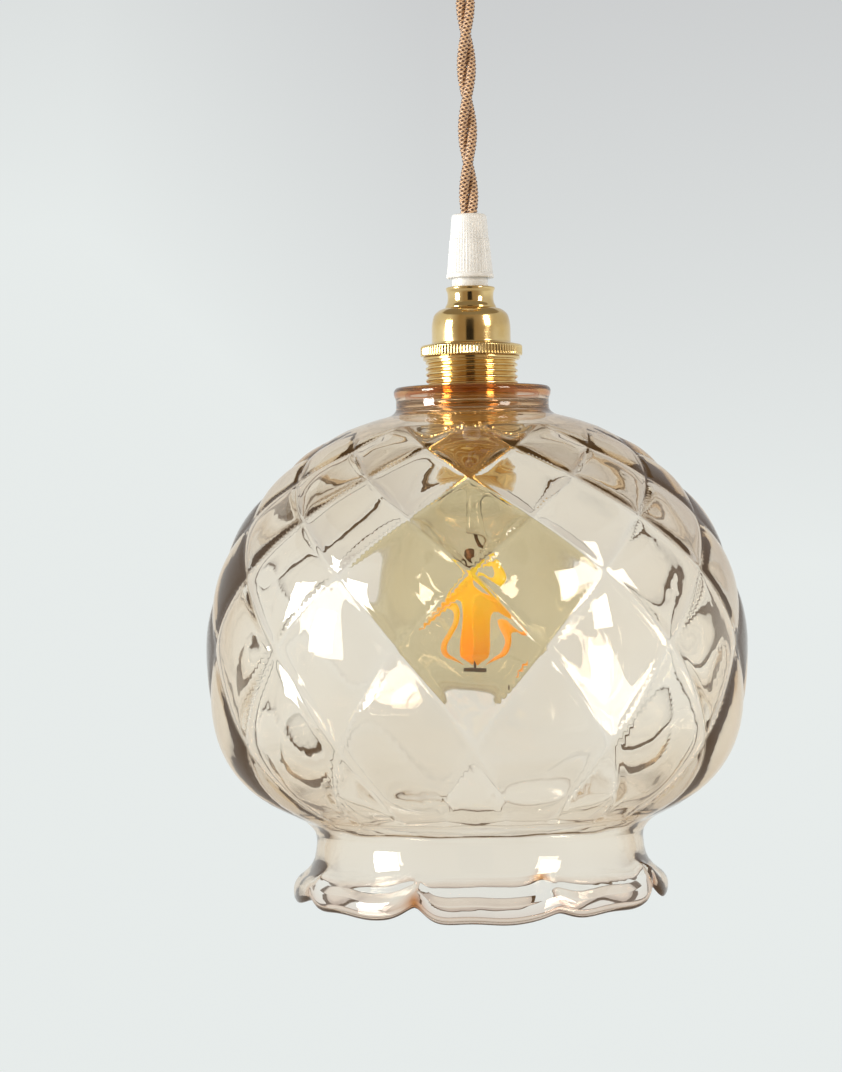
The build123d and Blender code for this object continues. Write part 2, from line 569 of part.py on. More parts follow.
# shade_washer: the silicone washer between the glass and the lower ring.
washer_top = COLLAR_BOTTOM - FIT
washer_bottom = washer_top - SHADE_WASHER_HEIGHT
with BuildPart() as shade_washer:
    with BuildSketch(Plane.XZ):
        band(HOLE_RADIUS, SHADE_WASHER_RADIUS - 1, washer_top, washer_bottom)
    revolve(axis=Axis.Z)
shade_washer.part.label = "shade_washer"
export_step(shade_washer.part, "parts/shade_washer.step")

# lower_ring: the ring inside the globe that carries the shade, with six finger notches.
ring_top = washer_bottom - FIT
with BuildPart() as lower_ring:
    with BuildSketch(Plane.XZ):
        band(RING_BORE, LOWER_RING_RADIUS, ring_top, ring_top - LOWER_FLANGE_HEIGHT)
        band(RING_BORE, LOWER_HUB_RADIUS, ring_top, ring_top - LOWER_RING_HEIGHT)
    revolve(axis=Axis.Z)
    with BuildSketch(Plane.XY.offset(ring_top)):
        with PolarLocations(LOWER_RING_RADIUS + 0.8, 24):
            Circle(1.5)
    extrude(amount=-LOWER_FLANGE_HEIGHT, mode=Mode.SUBTRACT)
lower_ring.part.label = "lower_ring"
export_step(lower_ring.part, "parts/lower_ring.step")

# ================================================================ bulb
# bulb_tip: the soldered contact at the cap's end.
with BuildPart() as bulb_tip:
    with BuildSketch(Plane.XY.offset(TIP_BOTTOM)):
        Circle(TIP_RADIUS)
    extrude(amount=TIP_TOP - TIP_BOTTOM)
    fillet(bulb_tip.edges().sort_by(Axis.Z)[-1], 0.8)
bulb_tip.part.label = "bulb_tip"
export_step(bulb_tip.part, "parts/bulb_tip.step")

# bulb_insulator: the black glass cone between the tip and the cap.
with BuildPart() as bulb_insulator:
    with BuildSketch(Plane.XZ):
        with BuildLine():
            Polyline(
                (0, TIP_BOTTOM - FIT),
                (TIP_RADIUS + 0.8, TIP_BOTTOM - FIT),
                (CAP_RADIUS - 2, CAP_TOP),
                (0, CAP_TOP),
                close=True,
            )
        make_face()
    revolve(axis=Axis.Z)
bulb_insulator.part.label = "bulb_insulator"
export_step(bulb_insulator.part, "parts/bulb_insulator.step")

# bulb_cap: the nickelled E27 cap, with rounded grooves at its thread's pitch.
with BuildPart() as bulb_cap:
    with BuildSketch(Plane.XZ):
        band(CAP_RADIUS - 2 * CAP_WALL, CAP_RADIUS, CAP_TOP, CAP_BOTTOM)
        band(6.0, CAP_RADIUS, CAP_TOP, CAP_TOP - CAP_WALL)
        for turn in range(4):
            with Locations((CAP_RADIUS + 0.5, CAP_TOP - 2.5 - turn * CAP_PITCH)):
                Circle(1.0, mode=Mode.SUBTRACT)
    revolve(axis=Axis.Z)
    fillet(bulb_cap.edges().group_by(Axis.Z)[-1].sort_by(SortBy.RADIUS)[-1], CAP_WALL)
bulb_cap.part.label = "bulb_cap"
export_step(bulb_cap.part, "parts/bulb_cap.step")


def bulb_skin(inset):
    """Half-section lines of the bulb's glass, from the neck's top to the bottom of the globe."""
    radius, neck, blend = BULB_RADIUS - inset, BULB_NECK - inset, BULB_NECK_ROUND + inset
    drop = ((radius + blend) ** 2 - (neck + blend) ** 2) ** 0.5
    reach = radius / (radius + blend)
    meeting = ((neck + blend) * reach, BULB_CENTRE + drop * reach)
    neck_end = (neck, BULB_CENTRE + drop)
    top = Line((neck, CAP_BOTTOM + 4), neck_end)
    flare = TangentArc(neck_end, meeting, tangent=(0, -1))
    RadiusArc(meeting, (radius, BULB_CENTRE), radius)
    RadiusArc((radius, BULB_CENTRE), (0, BULB_CENTRE - radius), radius)
    return top, flare


# bulb_glass: the amber glass envelope.
with BuildPart() as bulb_glass:
    with BuildSketch(Plane.XZ):
        with BuildLine():
            outer_top, _ = bulb_skin(0)
            inner_top, _ = bulb_skin(BULB_WALL)
            Line(outer_top @ 0, inner_top @ 0)
            Line((0, BULB_CENTRE - BULB_RADIUS), (0, BULB_CENTRE - BULB_RADIUS + BULB_WALL))
        make_face()
    revolve(axis=Axis.Z)
bulb_glass.part.label = "bulb_glass"
export_step(bulb_glass.part, "parts/bulb_glass.step")

# bulb_stem: the flared glass stem sealed inside the neck.
with BuildPart() as bulb_stem:
    with BuildSketch(Plane.XZ):
        with BuildLine():
            Polyline(
                (0, CAP_BOTTOM + 3.5),
                (BULB_NECK - BULB_WALL - 0.3, CAP_BOTTOM + 3.5),
                (BULB_NECK - BULB_WALL - 1.5, CAP_BOTTOM + 1),
                (STEM_RADIUS, CAP_BOTTOM - 9),
                (STEM_RADIUS, STEM_BOTTOM),
                (0, STEM_BOTTOM),
                close=True,
            )
        make_face()
    revolve(axis=Axis.Z)
bulb_stem.part.label = "bulb_stem"
export_step(bulb_stem.part, "parts/bulb_stem.step")

# bulb_leads: the wire rod down the middle, between the two discs that hold the filaments.
with BuildPart() as bulb_leads:
    with BuildSketch(Plane.XY.offset(FILAMENT_BOTTOM)):
        Circle(LEAD_RADIUS)
    extrude(amount=STEM_BOTTOM - FILAMENT_BOTTOM)
bulb_leads.part.label = "bulb_leads"
export_step(bulb_leads.part, "parts/bulb_leads.step")

# filament_holders: the two small discs on the rod.
with BuildPart() as filament_holders:
    with BuildSketch(Plane.XY.offset(FILAMENT_TOP), Plane.XY.offset(FILAMENT_BOTTOM)):
        Circle(HOLDER_RADIUS)
        Circle(LEAD_RADIUS, mode=Mode.SUBTRACT)
    extrude(amount=HOLDER_HEIGHT)
filament_holders.part.label = "filament_holders"
export_step(filament_holders.part, "parts/filament_holders.step")

# bulb_filaments: four bowed strips. Each leaves the upper disc, swings out, draws in to a waist
# and swings out again before it meets the lower disc.
strip_points = [
    (HOLDER_RADIUS - 1.5, FILAMENT_TOP - 1.4),
    (17.0, FILAMENT_TOP - 13.0),
    (5.0, FILAMENT_TOP - 27.0),
    (14.5, FILAMENT_TOP - 45.0),
    (HOLDER_RADIUS - 0.5, FILAMENT_BOTTOM + HOLDER_HEIGHT + 1.4),
]
with BuildPart() as bulb_filaments:
    with BuildLine(Plane.XZ) as strip_route:
        FilletPolyline(*strip_points, radius=corner_radii([(x, 0, z) for x, z in strip_points]))
    with BuildSketch(Plane(origin=strip_route.line @ 0, x_dir=(0, 1, 0), z_dir=strip_route.line % 0)):
        Rectangle(FILAMENT_WIDTH, FILAMENT_THICKNESS)
    one_strip = sweep(mode=Mode.PRIVATE)
    for turn in range(FILAMENT_COUNT):
        add(one_strip.rotate(Axis.Z, FILAMENT_START + turn * 360 / FILAMENT_COUNT))
bulb_filaments.part.label = "bulb_filaments"
export_step(bulb_filaments.part, "parts/bulb_filaments.step")
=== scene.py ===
# %% [markdown]
# # A quilted glass pendant light
#
# The lamp hangs from a small brass rose on a twisted textile cord. A white nylon grip holds the
# cord, a brass E27 holder carries the bulb, and a blown amber glass shade sits on a ring that is
# screwed onto the holder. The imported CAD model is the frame: it says where each piece goes and
# what it rides on. This script gives the pieces their finished shapes and finishes.

# %% Load the frame
import math
import bpy
import bmesh
import numpy as np
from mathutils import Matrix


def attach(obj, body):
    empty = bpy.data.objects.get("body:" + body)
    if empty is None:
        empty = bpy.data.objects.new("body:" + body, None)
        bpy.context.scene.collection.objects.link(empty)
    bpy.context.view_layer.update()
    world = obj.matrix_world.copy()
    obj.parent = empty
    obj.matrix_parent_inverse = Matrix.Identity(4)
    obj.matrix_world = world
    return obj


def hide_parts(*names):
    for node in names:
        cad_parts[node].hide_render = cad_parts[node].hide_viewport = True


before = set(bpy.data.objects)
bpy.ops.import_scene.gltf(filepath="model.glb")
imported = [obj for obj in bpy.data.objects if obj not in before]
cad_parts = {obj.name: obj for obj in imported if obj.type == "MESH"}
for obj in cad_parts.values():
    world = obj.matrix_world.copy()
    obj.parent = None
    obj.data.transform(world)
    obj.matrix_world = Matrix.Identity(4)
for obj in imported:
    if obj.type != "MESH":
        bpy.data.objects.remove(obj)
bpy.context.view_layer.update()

# %% [markdown]
# ## Camera
#
# A long lens from a metre and a half away keeps the rims' ellipses as flat as they should be. The
# camera is level with the upper part of the globe and a touch tilted, so the cord leans a little
# in the picture.

# %% Camera
MM = 0.001  # metres
camera_data = bpy.data.cameras.new("camera")
camera_data.lens = 120.9
camera_data.sensor_width = 36.0
camera = bpy.data.objects.new("camera", camera_data)
bpy.context.scene.collection.objects.link(camera)
bpy.context.scene.camera = camera
camera.location = (-0.0231, -1.53, -0.3086)
camera.rotation_euler = (math.radians(90.62), math.radians(1.0), 0.0)
print("camera stands, metres:", [round(value, 4) for value in camera.location])

# %% [markdown]
# ## Surfaces from arrays
#
# Nearly every piece is turned, moulded or blown about an axis, so a piece is an outline of
# (radius, height) points carried round the axis. A lathe would be a Screw modifier, but arrays let
# the same points also take ribs, a thread or a quilted relief. One function turns a grid of points
# into a mesh, one rounds the corners of an outline, and one carries it round.


# %% Grid of points to mesh
def grid_object(name, points, closed_rows=False, material=None, uv_size=(1.0, 1.0), merge=False):
    """Mesh of quads over points[row, column]: rows run down the outside, columns run round.

    Each quad takes four neighbours in the order that points its face outwards. Columns always
    close on themselves, rows do if closed_rows. The UV is the share of the way round and down,
    times uv_size.
    """
    rows, columns = points.shape[:2]
    index = np.arange(rows * columns).reshape(rows, columns)
    index = np.hstack([index, index[:, :1]])
    if closed_rows:
        index = np.vstack([index, index[:1]])
    quads = np.stack([index[:-1, :-1], index[1:, :-1], index[1:, 1:], index[:-1, 1:]], axis=-1)
    step_v, step_u = np.meshgrid(np.arange(quads.shape[0]), np.arange(quads.shape[1]), indexing="ij")
    corner_u = np.stack([step_u, step_u, step_u + 1, step_u + 1], axis=-1) / quads.shape[1] * uv_size[0]
    corner_v = np.stack([step_v, step_v + 1, step_v + 1, step_v], axis=-1) / quads.shape[0] * uv_size[1]
    mesh = bpy.data.meshes.new(name)
    mesh.from_pydata(points.reshape(-1, 3), [], quads.reshape(-1, 4))
    uv_layer = mesh.uv_layers.new(name="UVMap")
    uv_layer.data.foreach_set("uv", np.stack([corner_u, corner_v], axis=-1).astype(np.float32).ravel())
    if merge:
        cleaned = bmesh.new()
        cleaned.from_mesh(mesh)
        bmesh.ops.remove_doubles(cleaned, verts=cleaned.verts, dist=1e-6)
        bmesh.ops.dissolve_degenerate(cleaned, edges=cleaned.edges, dist=1e-7)
        cleaned.to_mesh(mesh)
        cleaned.free()
    mesh.polygons.foreach_set("use_smooth", np.ones(len(mesh.polygons), dtype=bool))
    mesh.update()
    made = bpy.data.objects.new(name, mesh)
    bpy.context.scene.collection.objects.link(made)
    if material:
        mesh.materials.append(material)
    return made


# %% Outlines
def rounded(corners, radius, steps=5):
    """Outline through (r, z, own radius) corners in mm, each corner replaced by a short arc.

    The arc is the quadratic curve from a point on one side of the corner, past the corner, to a
    point on the other side. Both points stand one rounding radius away from it, or less on a
    short side. A corner's own radius, if given, is used in place of the common one.
    """
    outline = []
    places = [np.array(corner[:2], dtype=float) for corner in corners]
    share = np.linspace(0, 1, steps)[:, None]
    for here, corner in enumerate(corners):
        if here in (0, len(corners) - 1):
            outline.append(places[here][None])
            continue
        wanted = corner[2] if len(corner) > 2 else radius
        before, after = places[here - 1] - places[here], places[here + 1] - places[here]
        reach = min(wanted, 0.45 * np.hypot(*before), 0.45 * np.hypot(*after))
        start = places[here] + before / np.hypot(*before) * reach
        end = places[here] + after / np.hypot(*after) * reach
        outline.append((1 - share) ** 2 * start + 2 * share * (1 - share) * places[here] + share**2 * end)
    return np.vstack(outline)


def carried_round(outline, columns):
    """Points[row, column] in metres of an outline (r, z in mm) carried round the Z axis."""
    angle = np.arange(columns) * 2 * np.pi / columns
    r, z = outline[:, :1] * MM, outline[:, 1:] * MM
    return np.stack([r * np.cos(angle), r * np.sin(angle), z + 0 * angle], axis=-1)


def stands_for(piece, node, body):
    """Let a finished piece ride on a body and hide the CAD node that it stands for."""
    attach(piece, body)
    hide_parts(node)


def turned(name, node, body, corners, material, radius=0.4, columns=128, steps=5, relief=None):
    """A piece turned about Z from the closed outline of its corners. It stands for a CAD node.

    The corners run down the outside and back up the inside. Relief, if given, is a function that
    moves the grid's points, for ribs or a thread.
    """
    outline = rounded(list(corners) + [corners[0]], radius, steps)[:-1]
    points = carried_round(outline, columns)
    if relief:
        points = relief(points)
    stands_for(grid_object(name, points, closed_rows=True, material=material), node, body)


# %% [markdown]
# ## Finishes
#
# Every finish starts from the real material's own numbers. One small function adds a shader node
# with its settings and links, and one turns an sRGB hex code into the linear colour that a shader
# works in. Pattern sizes are stated in millimetres and turned into the scale of a texture. The
# one pattern that most finishes share is soft blotches on Object coordinates, so it stays with
# the piece however the piece moves.


# %% Shader helpers
def colour(code):
    """Linear RGBA of an sRGB hex code such as D8B36A."""
    channels = [int(code[start:start + 2], 16) / 255 for start in (0, 2, 4)]
    return [c / 12.92 if c <= 0.04045 else ((c + 0.055) / 1.055) ** 2.4 for c in channels] + [1.0]


def plug(tree, node, inputs):
    """Set a node's sockets, by name or number: a value is written, another node's output linked."""
    for socket, value in inputs.items():
        if isinstance(value, bpy.types.NodeSocket):
            tree.links.new(value, node.inputs[socket])
        else:
            node.inputs[socket].default_value = value


def add_node(tree, kind, inputs=None, stops=(), **settings):
    """Add a shader node with its settings and links. Stops are a ramp's (place, hex code) pairs."""
    made = tree.nodes.new(kind)
    for setting, value in settings.items():
        setattr(made, setting, value)
    for number, (place, code) in enumerate(stops):
        made.color_ramp.elements[number].position = place
        made.color_ramp.elements[number].color = colour(code)
    plug(tree, made, inputs or {})
    return made


def start_material(name, sockets):
    """A material with its Principled shader's sockets set, as (material, tree, shader)."""
    material = bpy.data.materials.new(name)
    material.use_nodes = True
    shader = material.node_tree.nodes["Principled BSDF"]
    plug(material.node_tree, shader, sockets)
    return material, material.node_tree, shader


def blotches(tree, size_mm, detail=3.0, stretch=(1.0, 1.0, 1.0)):
    """Noise whose blotches are about size_mm across, stretched along the axes by given factors."""
    place = add_node(tree, "ShaderNodeTexCoord").outputs["Object"]
    if stretch != (1.0, 1.0, 1.0):
        scale = tuple(1.0 / factor for factor in stretch)
        place = add_node(tree, "ShaderNodeMapping", {"Vector": place, "Scale": scale}).outputs["Vector"]
    return add_node(tree, "ShaderNodeTexNoise", {
        "Vector": place, "Scale": 1.0 / (size_mm * MM), "Detail": detail, "Roughness": 0.55,
    }).outputs["Fac"]


# %% [markdown]
# ### Metals
#
# Polished and lacquered brass: drawn or turned, so very fine lines run round it, with soft
# smudges in the lacquer that spread the reflections in places. Zinc plate is duller and mottled.
# Nickel on the bulb's cap and the screw shell is bright and slightly warm. Noise stretched sixty
# times round the axis gives the turning lines, drawn a little coarser than real ones so that
# they show.


# %% Metals
def metal(name, light, dark, smooth, rough, smudge_mm, line_mm, line_depth_mm, coat=0.0):
    """Metal with tone blotches, smudges that change its gloss, and turning lines round the Z axis.

    Between shares 0.3 and 0.7 of the noise, the tone goes from light to dark and the roughness
    from smooth to rough. The lines are relief of line_depth_mm.
    """
    material, tree, shader = start_material(
        name, {"Metallic": 1.0, "Coat Weight": coat, "Coat Roughness": 0.06})
    tone = add_node(tree, "ShaderNodeValToRGB", {"Fac": blotches(tree, smudge_mm * 1.7)},
                    [(0.3, light), (0.7, dark)])
    gloss = add_node(tree, "ShaderNodeMapRange", {
        "Value": blotches(tree, smudge_mm, detail=5.0), "From Min": 0.3, "From Max": 0.7,
        "To Min": smooth, "To Max": rough})
    lines = blotches(tree, line_mm, 2.0, stretch=(60.0, 60.0, 1.0))
    relief = add_node(tree, "ShaderNodeBump", {"Height": lines, "Distance": line_depth_mm * MM})
    plug(tree, shader, {"Base Color": tone.outputs["Color"], "Roughness": gloss.outputs["Result"],
                        "Normal": relief.outputs["Normal"]})
    return material


brass = metal("polished_lacquered_brass", "F0D49B", "DDB873", 0.07, 0.20, 9.0, 0.35, 0.010, coat=0.25)
plain_brass = metal("drawn_brass", "DDBD7C", "C39F5E", 0.22, 0.42, 4.0, 0.3, 0.02)
zinc = metal("zinc_plated_steel", "C9CACA", "A9ABAD", 0.28, 0.48, 5.0, 0.4, 0.02)
nickel = metal("nickel_plated_steel", "D6D1C6", "B9B3A6", 0.12, 0.30, 4.0, 0.3, 0.01)
solder = metal("tin_solder", "C4C4C0", "9FA09E", 0.30, 0.55, 1.5, 0.6, 0.05)
wire = metal("oxidised_nickel_wire", "6B4632", "3A2318", 0.35, 0.60, 1.5, 0.4, 0.03)
print("metals:", [finish.name for finish in (brass, plain_brass, zinc, nickel, solder, wire)])

# %% [markdown]
# ### Nylon, rubber, silicone and porcelain
#
# The grip is moulded natural nylon: light goes some millimetres into it, which rounds off its
# shadows. Porcelain has a clear glaze over an off-white body. Rubber and the cores' silicone
# sleeves are dull, with the fine skin of a mould or a die.


# %% Moulded and fired
def moulded(name, light, dark, rough, depth_mm=0.0, grain_mm=0.8, grain_depth_mm=0.02, coat=0.0):
    """Moulded material with slight mottling, a fine skin texture and light scattered inside it."""
    material, tree, shader = start_material(name, {
        "Coat Weight": coat, "Coat Roughness": 0.05, "IOR": 1.53,
        "Subsurface Weight": 0.6 if depth_mm else 0.0, "Subsurface Radius": (1.0, 0.95, 0.9),
        "Subsurface Scale": depth_mm * MM})
    tone = add_node(tree, "ShaderNodeValToRGB", {"Fac": blotches(tree, 6.0)}, [(0.3, light), (0.7, dark)])
    gloss = add_node(tree, "ShaderNodeMapRange", {
        "Value": blotches(tree, 2.5), "From Min": 0.3, "From Max": 0.7,
        "To Min": rough - 0.06, "To Max": rough + 0.08})
    relief = add_node(tree, "ShaderNodeBump", {
        "Height": blotches(tree, grain_mm, 4.0), "Distance": grain_depth_mm * MM})
    plug(tree, shader, {"Base Color": tone.outputs["Color"], "Roughness": gloss.outputs["Result"],
                        "Normal": relief.outputs["Normal"]})
    return material


nylon = moulded("natural_white_nylon", "F2F2F0", "E8E8E6", 0.34, depth_mm=6.0)
rubber = moulded("black_rubber", "2B2B2B", "222222", 0.62, grain_mm=0.5)
silicone = moulded("clear_silicone", "E6E4DC", "DAD7CD", 0.45, depth_mm=1.5)
core_insulation = moulded("extruded_silicone_sleeve", "D9BE93", "CDB085", 0.50)
porcelain = moulded("glazed_porcelain", "F1EEE4", "E9E5D9", 0.18, depth_mm=0.6, grain_depth_mm=0.01,
                    coat=0.6)
vitrite = moulded("black_cap_glass", "15151A", "0C0C10", 0.12, grain_mm=1.5, coat=0.5)
moulded_finishes = (nylon, rubber, silicone, core_insulation, porcelain, vitrite)
print("moulded:", [finish.name for finish in moulded_finishes])

# %% [markdown]
# ### Glass
#
# The shade is soda-lime glass coloured in the melt, so its colour comes from depth, not from its
# skin: a thin wall looks champagne, and an edge, where the eye looks along the glass, goes amber
# and then brown. A volume that absorbs blue most, then green, gives exactly that. Hand-blown
# walls are a little wavy, and the bump on the skin gives that.


# %% Glass
def glass(name, kept, density, wave_mm, wave_depth_mm):
    """Clear-skinned glass. Kept is the hex colour that it lets by, and density how fast it works.

    Over a path, each channel falls by e to the power of minus density times path in metres times
    one minus the kept colour's channel.
    """
    material, tree, shader = start_material(name, {
        "Base Color": (1.0, 1.0, 1.0, 1.0), "Roughness": 0.0, "IOR": 1.51, "Transmission Weight": 1.0})
    volume = add_node(tree, "ShaderNodeVolumeAbsorption", {"Color": colour(kept), "Density": density})
    waves = add_node(tree, "ShaderNodeBump", {
        "Height": blotches(tree, wave_mm, 2.0), "Distance": wave_depth_mm * MM})
    plug(tree, tree.nodes["Material Output"], {"Volume": volume.outputs["Volume"]})
    plug(tree, shader, {"Normal": waves.outputs["Normal"]})
    return material


amber_glass = glass("blown_amber_glass", "EED5A2", 50.0, wave_mm=15.0, wave_depth_mm=0.06)
bulb_tint_glass = glass("amber_tinted_bulb_glass", "D6C440", 330.0, wave_mm=20.0, wave_depth_mm=0.02)
stem_glass = glass("drawn_lead_glass_tube", "F4FAF0", 20.0, wave_mm=6.0, wave_depth_mm=0.02)
print("glasses:", [finish.name for finish in (amber_glass, bulb_tint_glass, stem_glass)])

# %% [markdown]
# The rim of the collar and the curls of the lip are thick beads, so they read as a deep orange.
# The shade's own attribute "gathered" says where they are, and a tint on the skin deepens them. A
# wall seen edge on is golden as well, which the Facing share of Layer Weight gives. The two
# tints are multiplied. Light that is trapped in the thick folds comes out golden after many
# turns, more than are followed here, so a very faint glow stands for it and keeps the folds from
# going black.

# %% Amber where the glass is thick
MIX_A, MIX_B, MIX_RESULT = 6, 7, 2  # a Mix node's sockets for colours
amber_tree = amber_glass.node_tree
gathered_share = add_node(amber_tree, "ShaderNodeAttribute", attribute_name="gathered").outputs["Fac"]
edge_share = add_node(amber_tree, "ShaderNodeLayerWeight", {"Blend": 0.5}).outputs["Facing"]
bead_tint = add_node(amber_tree, "ShaderNodeValToRGB", {"Fac": gathered_share},
                     [(0.0, "FFFFFF"), (1.0, "CC8848")])
edge_tint = add_node(amber_tree, "ShaderNodeValToRGB", {"Fac": edge_share},
                     [(0.55, "FFFFFF"), (1.0, "D2A662")])
amber_skin = add_node(amber_tree, "ShaderNodeMix", {
    "Factor": 1.0, MIX_A: bead_tint.outputs["Color"], MIX_B: edge_tint.outputs["Color"],
}, data_type="RGBA", blend_type="MULTIPLY")
plug(amber_tree, amber_tree.nodes["Principled BSDF"], {
    "Base Color": amber_skin.outputs[MIX_RESULT],
    "Emission Color": colour("8A6424"), "Emission Strength": 0.04})
print("amber glass nodes:", len(amber_tree.nodes))

# %% [markdown]
# ## Stage
#
# A big round pale studio: a floor that curves up into a wall, like a bowl, glowing softly so that
# the glass has a calm bright world to bend. Its tone falls off a little to the upper right. Behind
# the camera the paper is a warm tan, as a room would be, and that puts soft tan shades into the
# brass and the folds of the glass.

# %% Studio bowl
FLOOR_Z, WALL_RADIUS, COVE_RADIUS, WALL_TOP = -1.7, 3.2, 1.1, 2.4
cove_angle = np.linspace(0, np.pi / 2, 17)
bowl_outline = np.vstack([
    [[WALL_RADIUS, WALL_TOP]],
    np.stack([
        WALL_RADIUS - COVE_RADIUS * (1 - np.cos(cove_angle)),
        FLOOR_Z + COVE_RADIUS * (1 - np.sin(cove_angle)),
    ], axis=-1),
    [[0.6, FLOOR_Z], [0.0, FLOOR_Z]],
]) / MM
bowl = grid_object("studio_bowl", carried_round(bowl_outline[::-1], 96), merge=True)
print("bowl faces:", len(bowl.data.polygons))

# %% [markdown]
# The paper's glow is a blend over the bowl. One share rises down the wall and to the left, and
# goes from grey to white. The other is 1 on the far side of the lamp, 0 behind the camera and a
# little less than 1 on the floor, and it goes from the room's tan to that paper tone.

# %% Studio paper
paper, paper_tree, paper_shader = start_material("pale_studio_paper", {
    "Roughness": 0.9, "Base Color": colour("3C3D3E"), "Emission Strength": 0.95})
paper_place = add_node(paper_tree, "ShaderNodeTexCoord").outputs["Object"]
paper_sides = add_node(paper_tree, "ShaderNodeSeparateXYZ", {"Vector": paper_place})
paper_shares = [
    add_node(paper_tree, "ShaderNodeMapRange", {
        "Value": paper_sides.outputs[axis], "From Min": start, "From Max": end,
        "To Min": low, "To Max": high}).outputs["Result"]
    for axis, start, end, low, high in (
        ("Z", 0.45, -0.30, 0.0, 1.0), ("X", 0.0, -0.45, 0.0, 0.6),
        ("Y", -2.6, -1.0, 0.0, 1.0), ("Z", -1.5, -1.05, 0.6, 1.0),
    )
]
pale_share = add_node(paper_tree, "ShaderNodeMath", {0: paper_shares[0], 1: paper_shares[1]},
                      operation="ADD")
lit_share = add_node(paper_tree, "ShaderNodeMath", {0: paper_shares[2], 1: paper_shares[3]},
                     operation="MULTIPLY")
paper_tone = add_node(paper_tree, "ShaderNodeValToRGB", {"Fac": pale_share.outputs["Value"]},
                      [(0.0, "CBCDCE"), (1.0, "E6EBEA")])
paper_glow = add_node(paper_tree, "ShaderNodeMix", {
    "Factor": lit_share.outputs["Value"], MIX_A: colour("9C8A70"), MIX_B: paper_tone.outputs["Color"],
}, data_type="RGBA")
plug(paper_tree, paper_shader, {"Emission Color": paper_glow.outputs[MIX_RESULT]})
bowl.data.materials.append(paper)

world = bpy.data.worlds.new("overhead")
bpy.context.scene.world = world
world.use_nodes = True
plug(world.node_tree, world.node_tree.nodes["Background"], {"Color": colour("B4AC9E"), "Strength": 0.6})
bpy.context.scene.view_settings.view_transform = "Standard"

# Light has to pass four walls of glass and often runs along inside one, so it is followed further.
LIGHT_BOUNCES = 32
bpy.context.scene.cycles.max_bounces = LIGHT_BOUNCES
bpy.context.scene.cycles.transmission_bounces = LIGHT_BOUNCES

# %% [markdown]
# A window-shaped softbox to the left of the camera and a smaller one to its right give the glass
# its bright patches and the brass its long highlights. A dark flag behind the camera gives the
# brass its dark stripe. Only reflections see it, so it takes no light away from the glass.


# %% Softboxes and flag
def aimed(thing, place, target):
    """Put a thing at a place, in metres, with its -Z side towards the target."""
    away = np.array(place, dtype=float) - np.array(target, dtype=float)
    flat = math.hypot(away[0], away[1])
    thing.location = place
    thing.rotation_euler = (math.atan2(flat, away[2]), 0.0, math.atan2(away[1], away[0]) + math.pi / 2)


def softbox(name, place, target, width, height, watts, tint):
    """Rectangular lamp that reflections see and the camera doesn't."""
    data = bpy.data.lights.new(name, "AREA")
    data.shape = "RECTANGLE"
    data.size, data.size_y = width, height
    data.energy = watts
    data.color = colour(tint)[:3]
    lamp = bpy.data.objects.new(name, data)
    bpy.context.scene.collection.objects.link(lamp)
    aimed(lamp, place, target)
    lamp.visible_camera = False


LAMP_CENTRE = (0.0, 0.0, -0.32)
softbox("window_left", (-1.75, -0.65, 0.05), LAMP_CENTRE, 0.65, 0.8, 38.0, "FFFDF8")
softbox("fill_right", (1.5, -1.3, 0.5), LAMP_CENTRE, 0.55, 0.85, 19.0, "FFF6EA")

FLAG_WIDTH, FLAG_HEIGHT = 0.9, 2.0
flag_corners = np.array([[-0.5, 0.5, 0], [-0.5, -0.5, 0], [0.5, -0.5, 0], [0.5, 0.5, 0]])
flag_mesh = bpy.data.meshes.new("flag_behind_camera")
flag_mesh.from_pydata(flag_corners * [FLAG_WIDTH, FLAG_HEIGHT, 1.0], [], [[0, 1, 2, 3]])
flag = bpy.data.objects.new("flag_behind_camera", flag_mesh)
bpy.context.scene.collection.objects.link(flag)
aimed(flag, (-0.15, -2.2, -0.1), LAMP_CENTRE)
for way in ("visible_camera", "visible_diffuse", "visible_transmission", "visible_shadow"):
    setattr(flag, way, False)
flag_cloth, _, _ = start_material("black_flag_cloth", {"Roughness": 0.9, "Base Color": colour("1A1512")})
flag_mesh.materials.append(flag_cloth)

# %% [markdown]
# ## The cord
#
# Two braided strands twisted together, one turn in 55 mm, rising to the right like a standard
# screw. The lamp's weight pulls the cord straight from the rose down into the grip, so its route
# is a straight line, and the twist is worked out on it.

# %% Cord: the route
CORD_ROUTE = [(0, 0, -26), (0, 0, -76), (0, 0, -128), (0, 0, -178)]  # mm, straight down to the grip
CORD_DIAMETER, TWIST_PITCH, TWIST_FRONT_Z = 8.4, 55.0, -78.6  # a strand is in front at this height
STRAND_RADIUS = 2.25  # the strands press together, so this is a little over a quarter of the cord
STRAND_OFFSET = CORD_DIAMETER / 2 - STRAND_RADIUS


def cord_line(route):
    """Points, in metres, along a smooth curve that starts and ends at the ends of a route in mm."""
    curve = bpy.data.curves.new("route", "CURVE")
    curve.dimensions = "3D"
    curve.resolution_u = 24
    line = curve.splines.new("NURBS")
    line.points.add(len(route) - 1)
    for point, place in zip(line.points, route):
        point.co = (*[value * MM for value in place], 1.0)
    line.order_u, line.use_endpoint_u = 3, True
    holder = bpy.data.objects.new("route", curve)
    mesh = bpy.data.meshes.new_from_object(holder)
    places = np.empty(len(mesh.vertices) * 3)
    mesh.vertices.foreach_get("co", places)
    bpy.data.objects.remove(holder)
    return places.reshape(-1, 3)


cord_path = cord_line(CORD_ROUTE)
print("cord length, mm:", round(float(np.linalg.norm(np.diff(cord_path, axis=0), axis=1).sum()) / MM, 1))

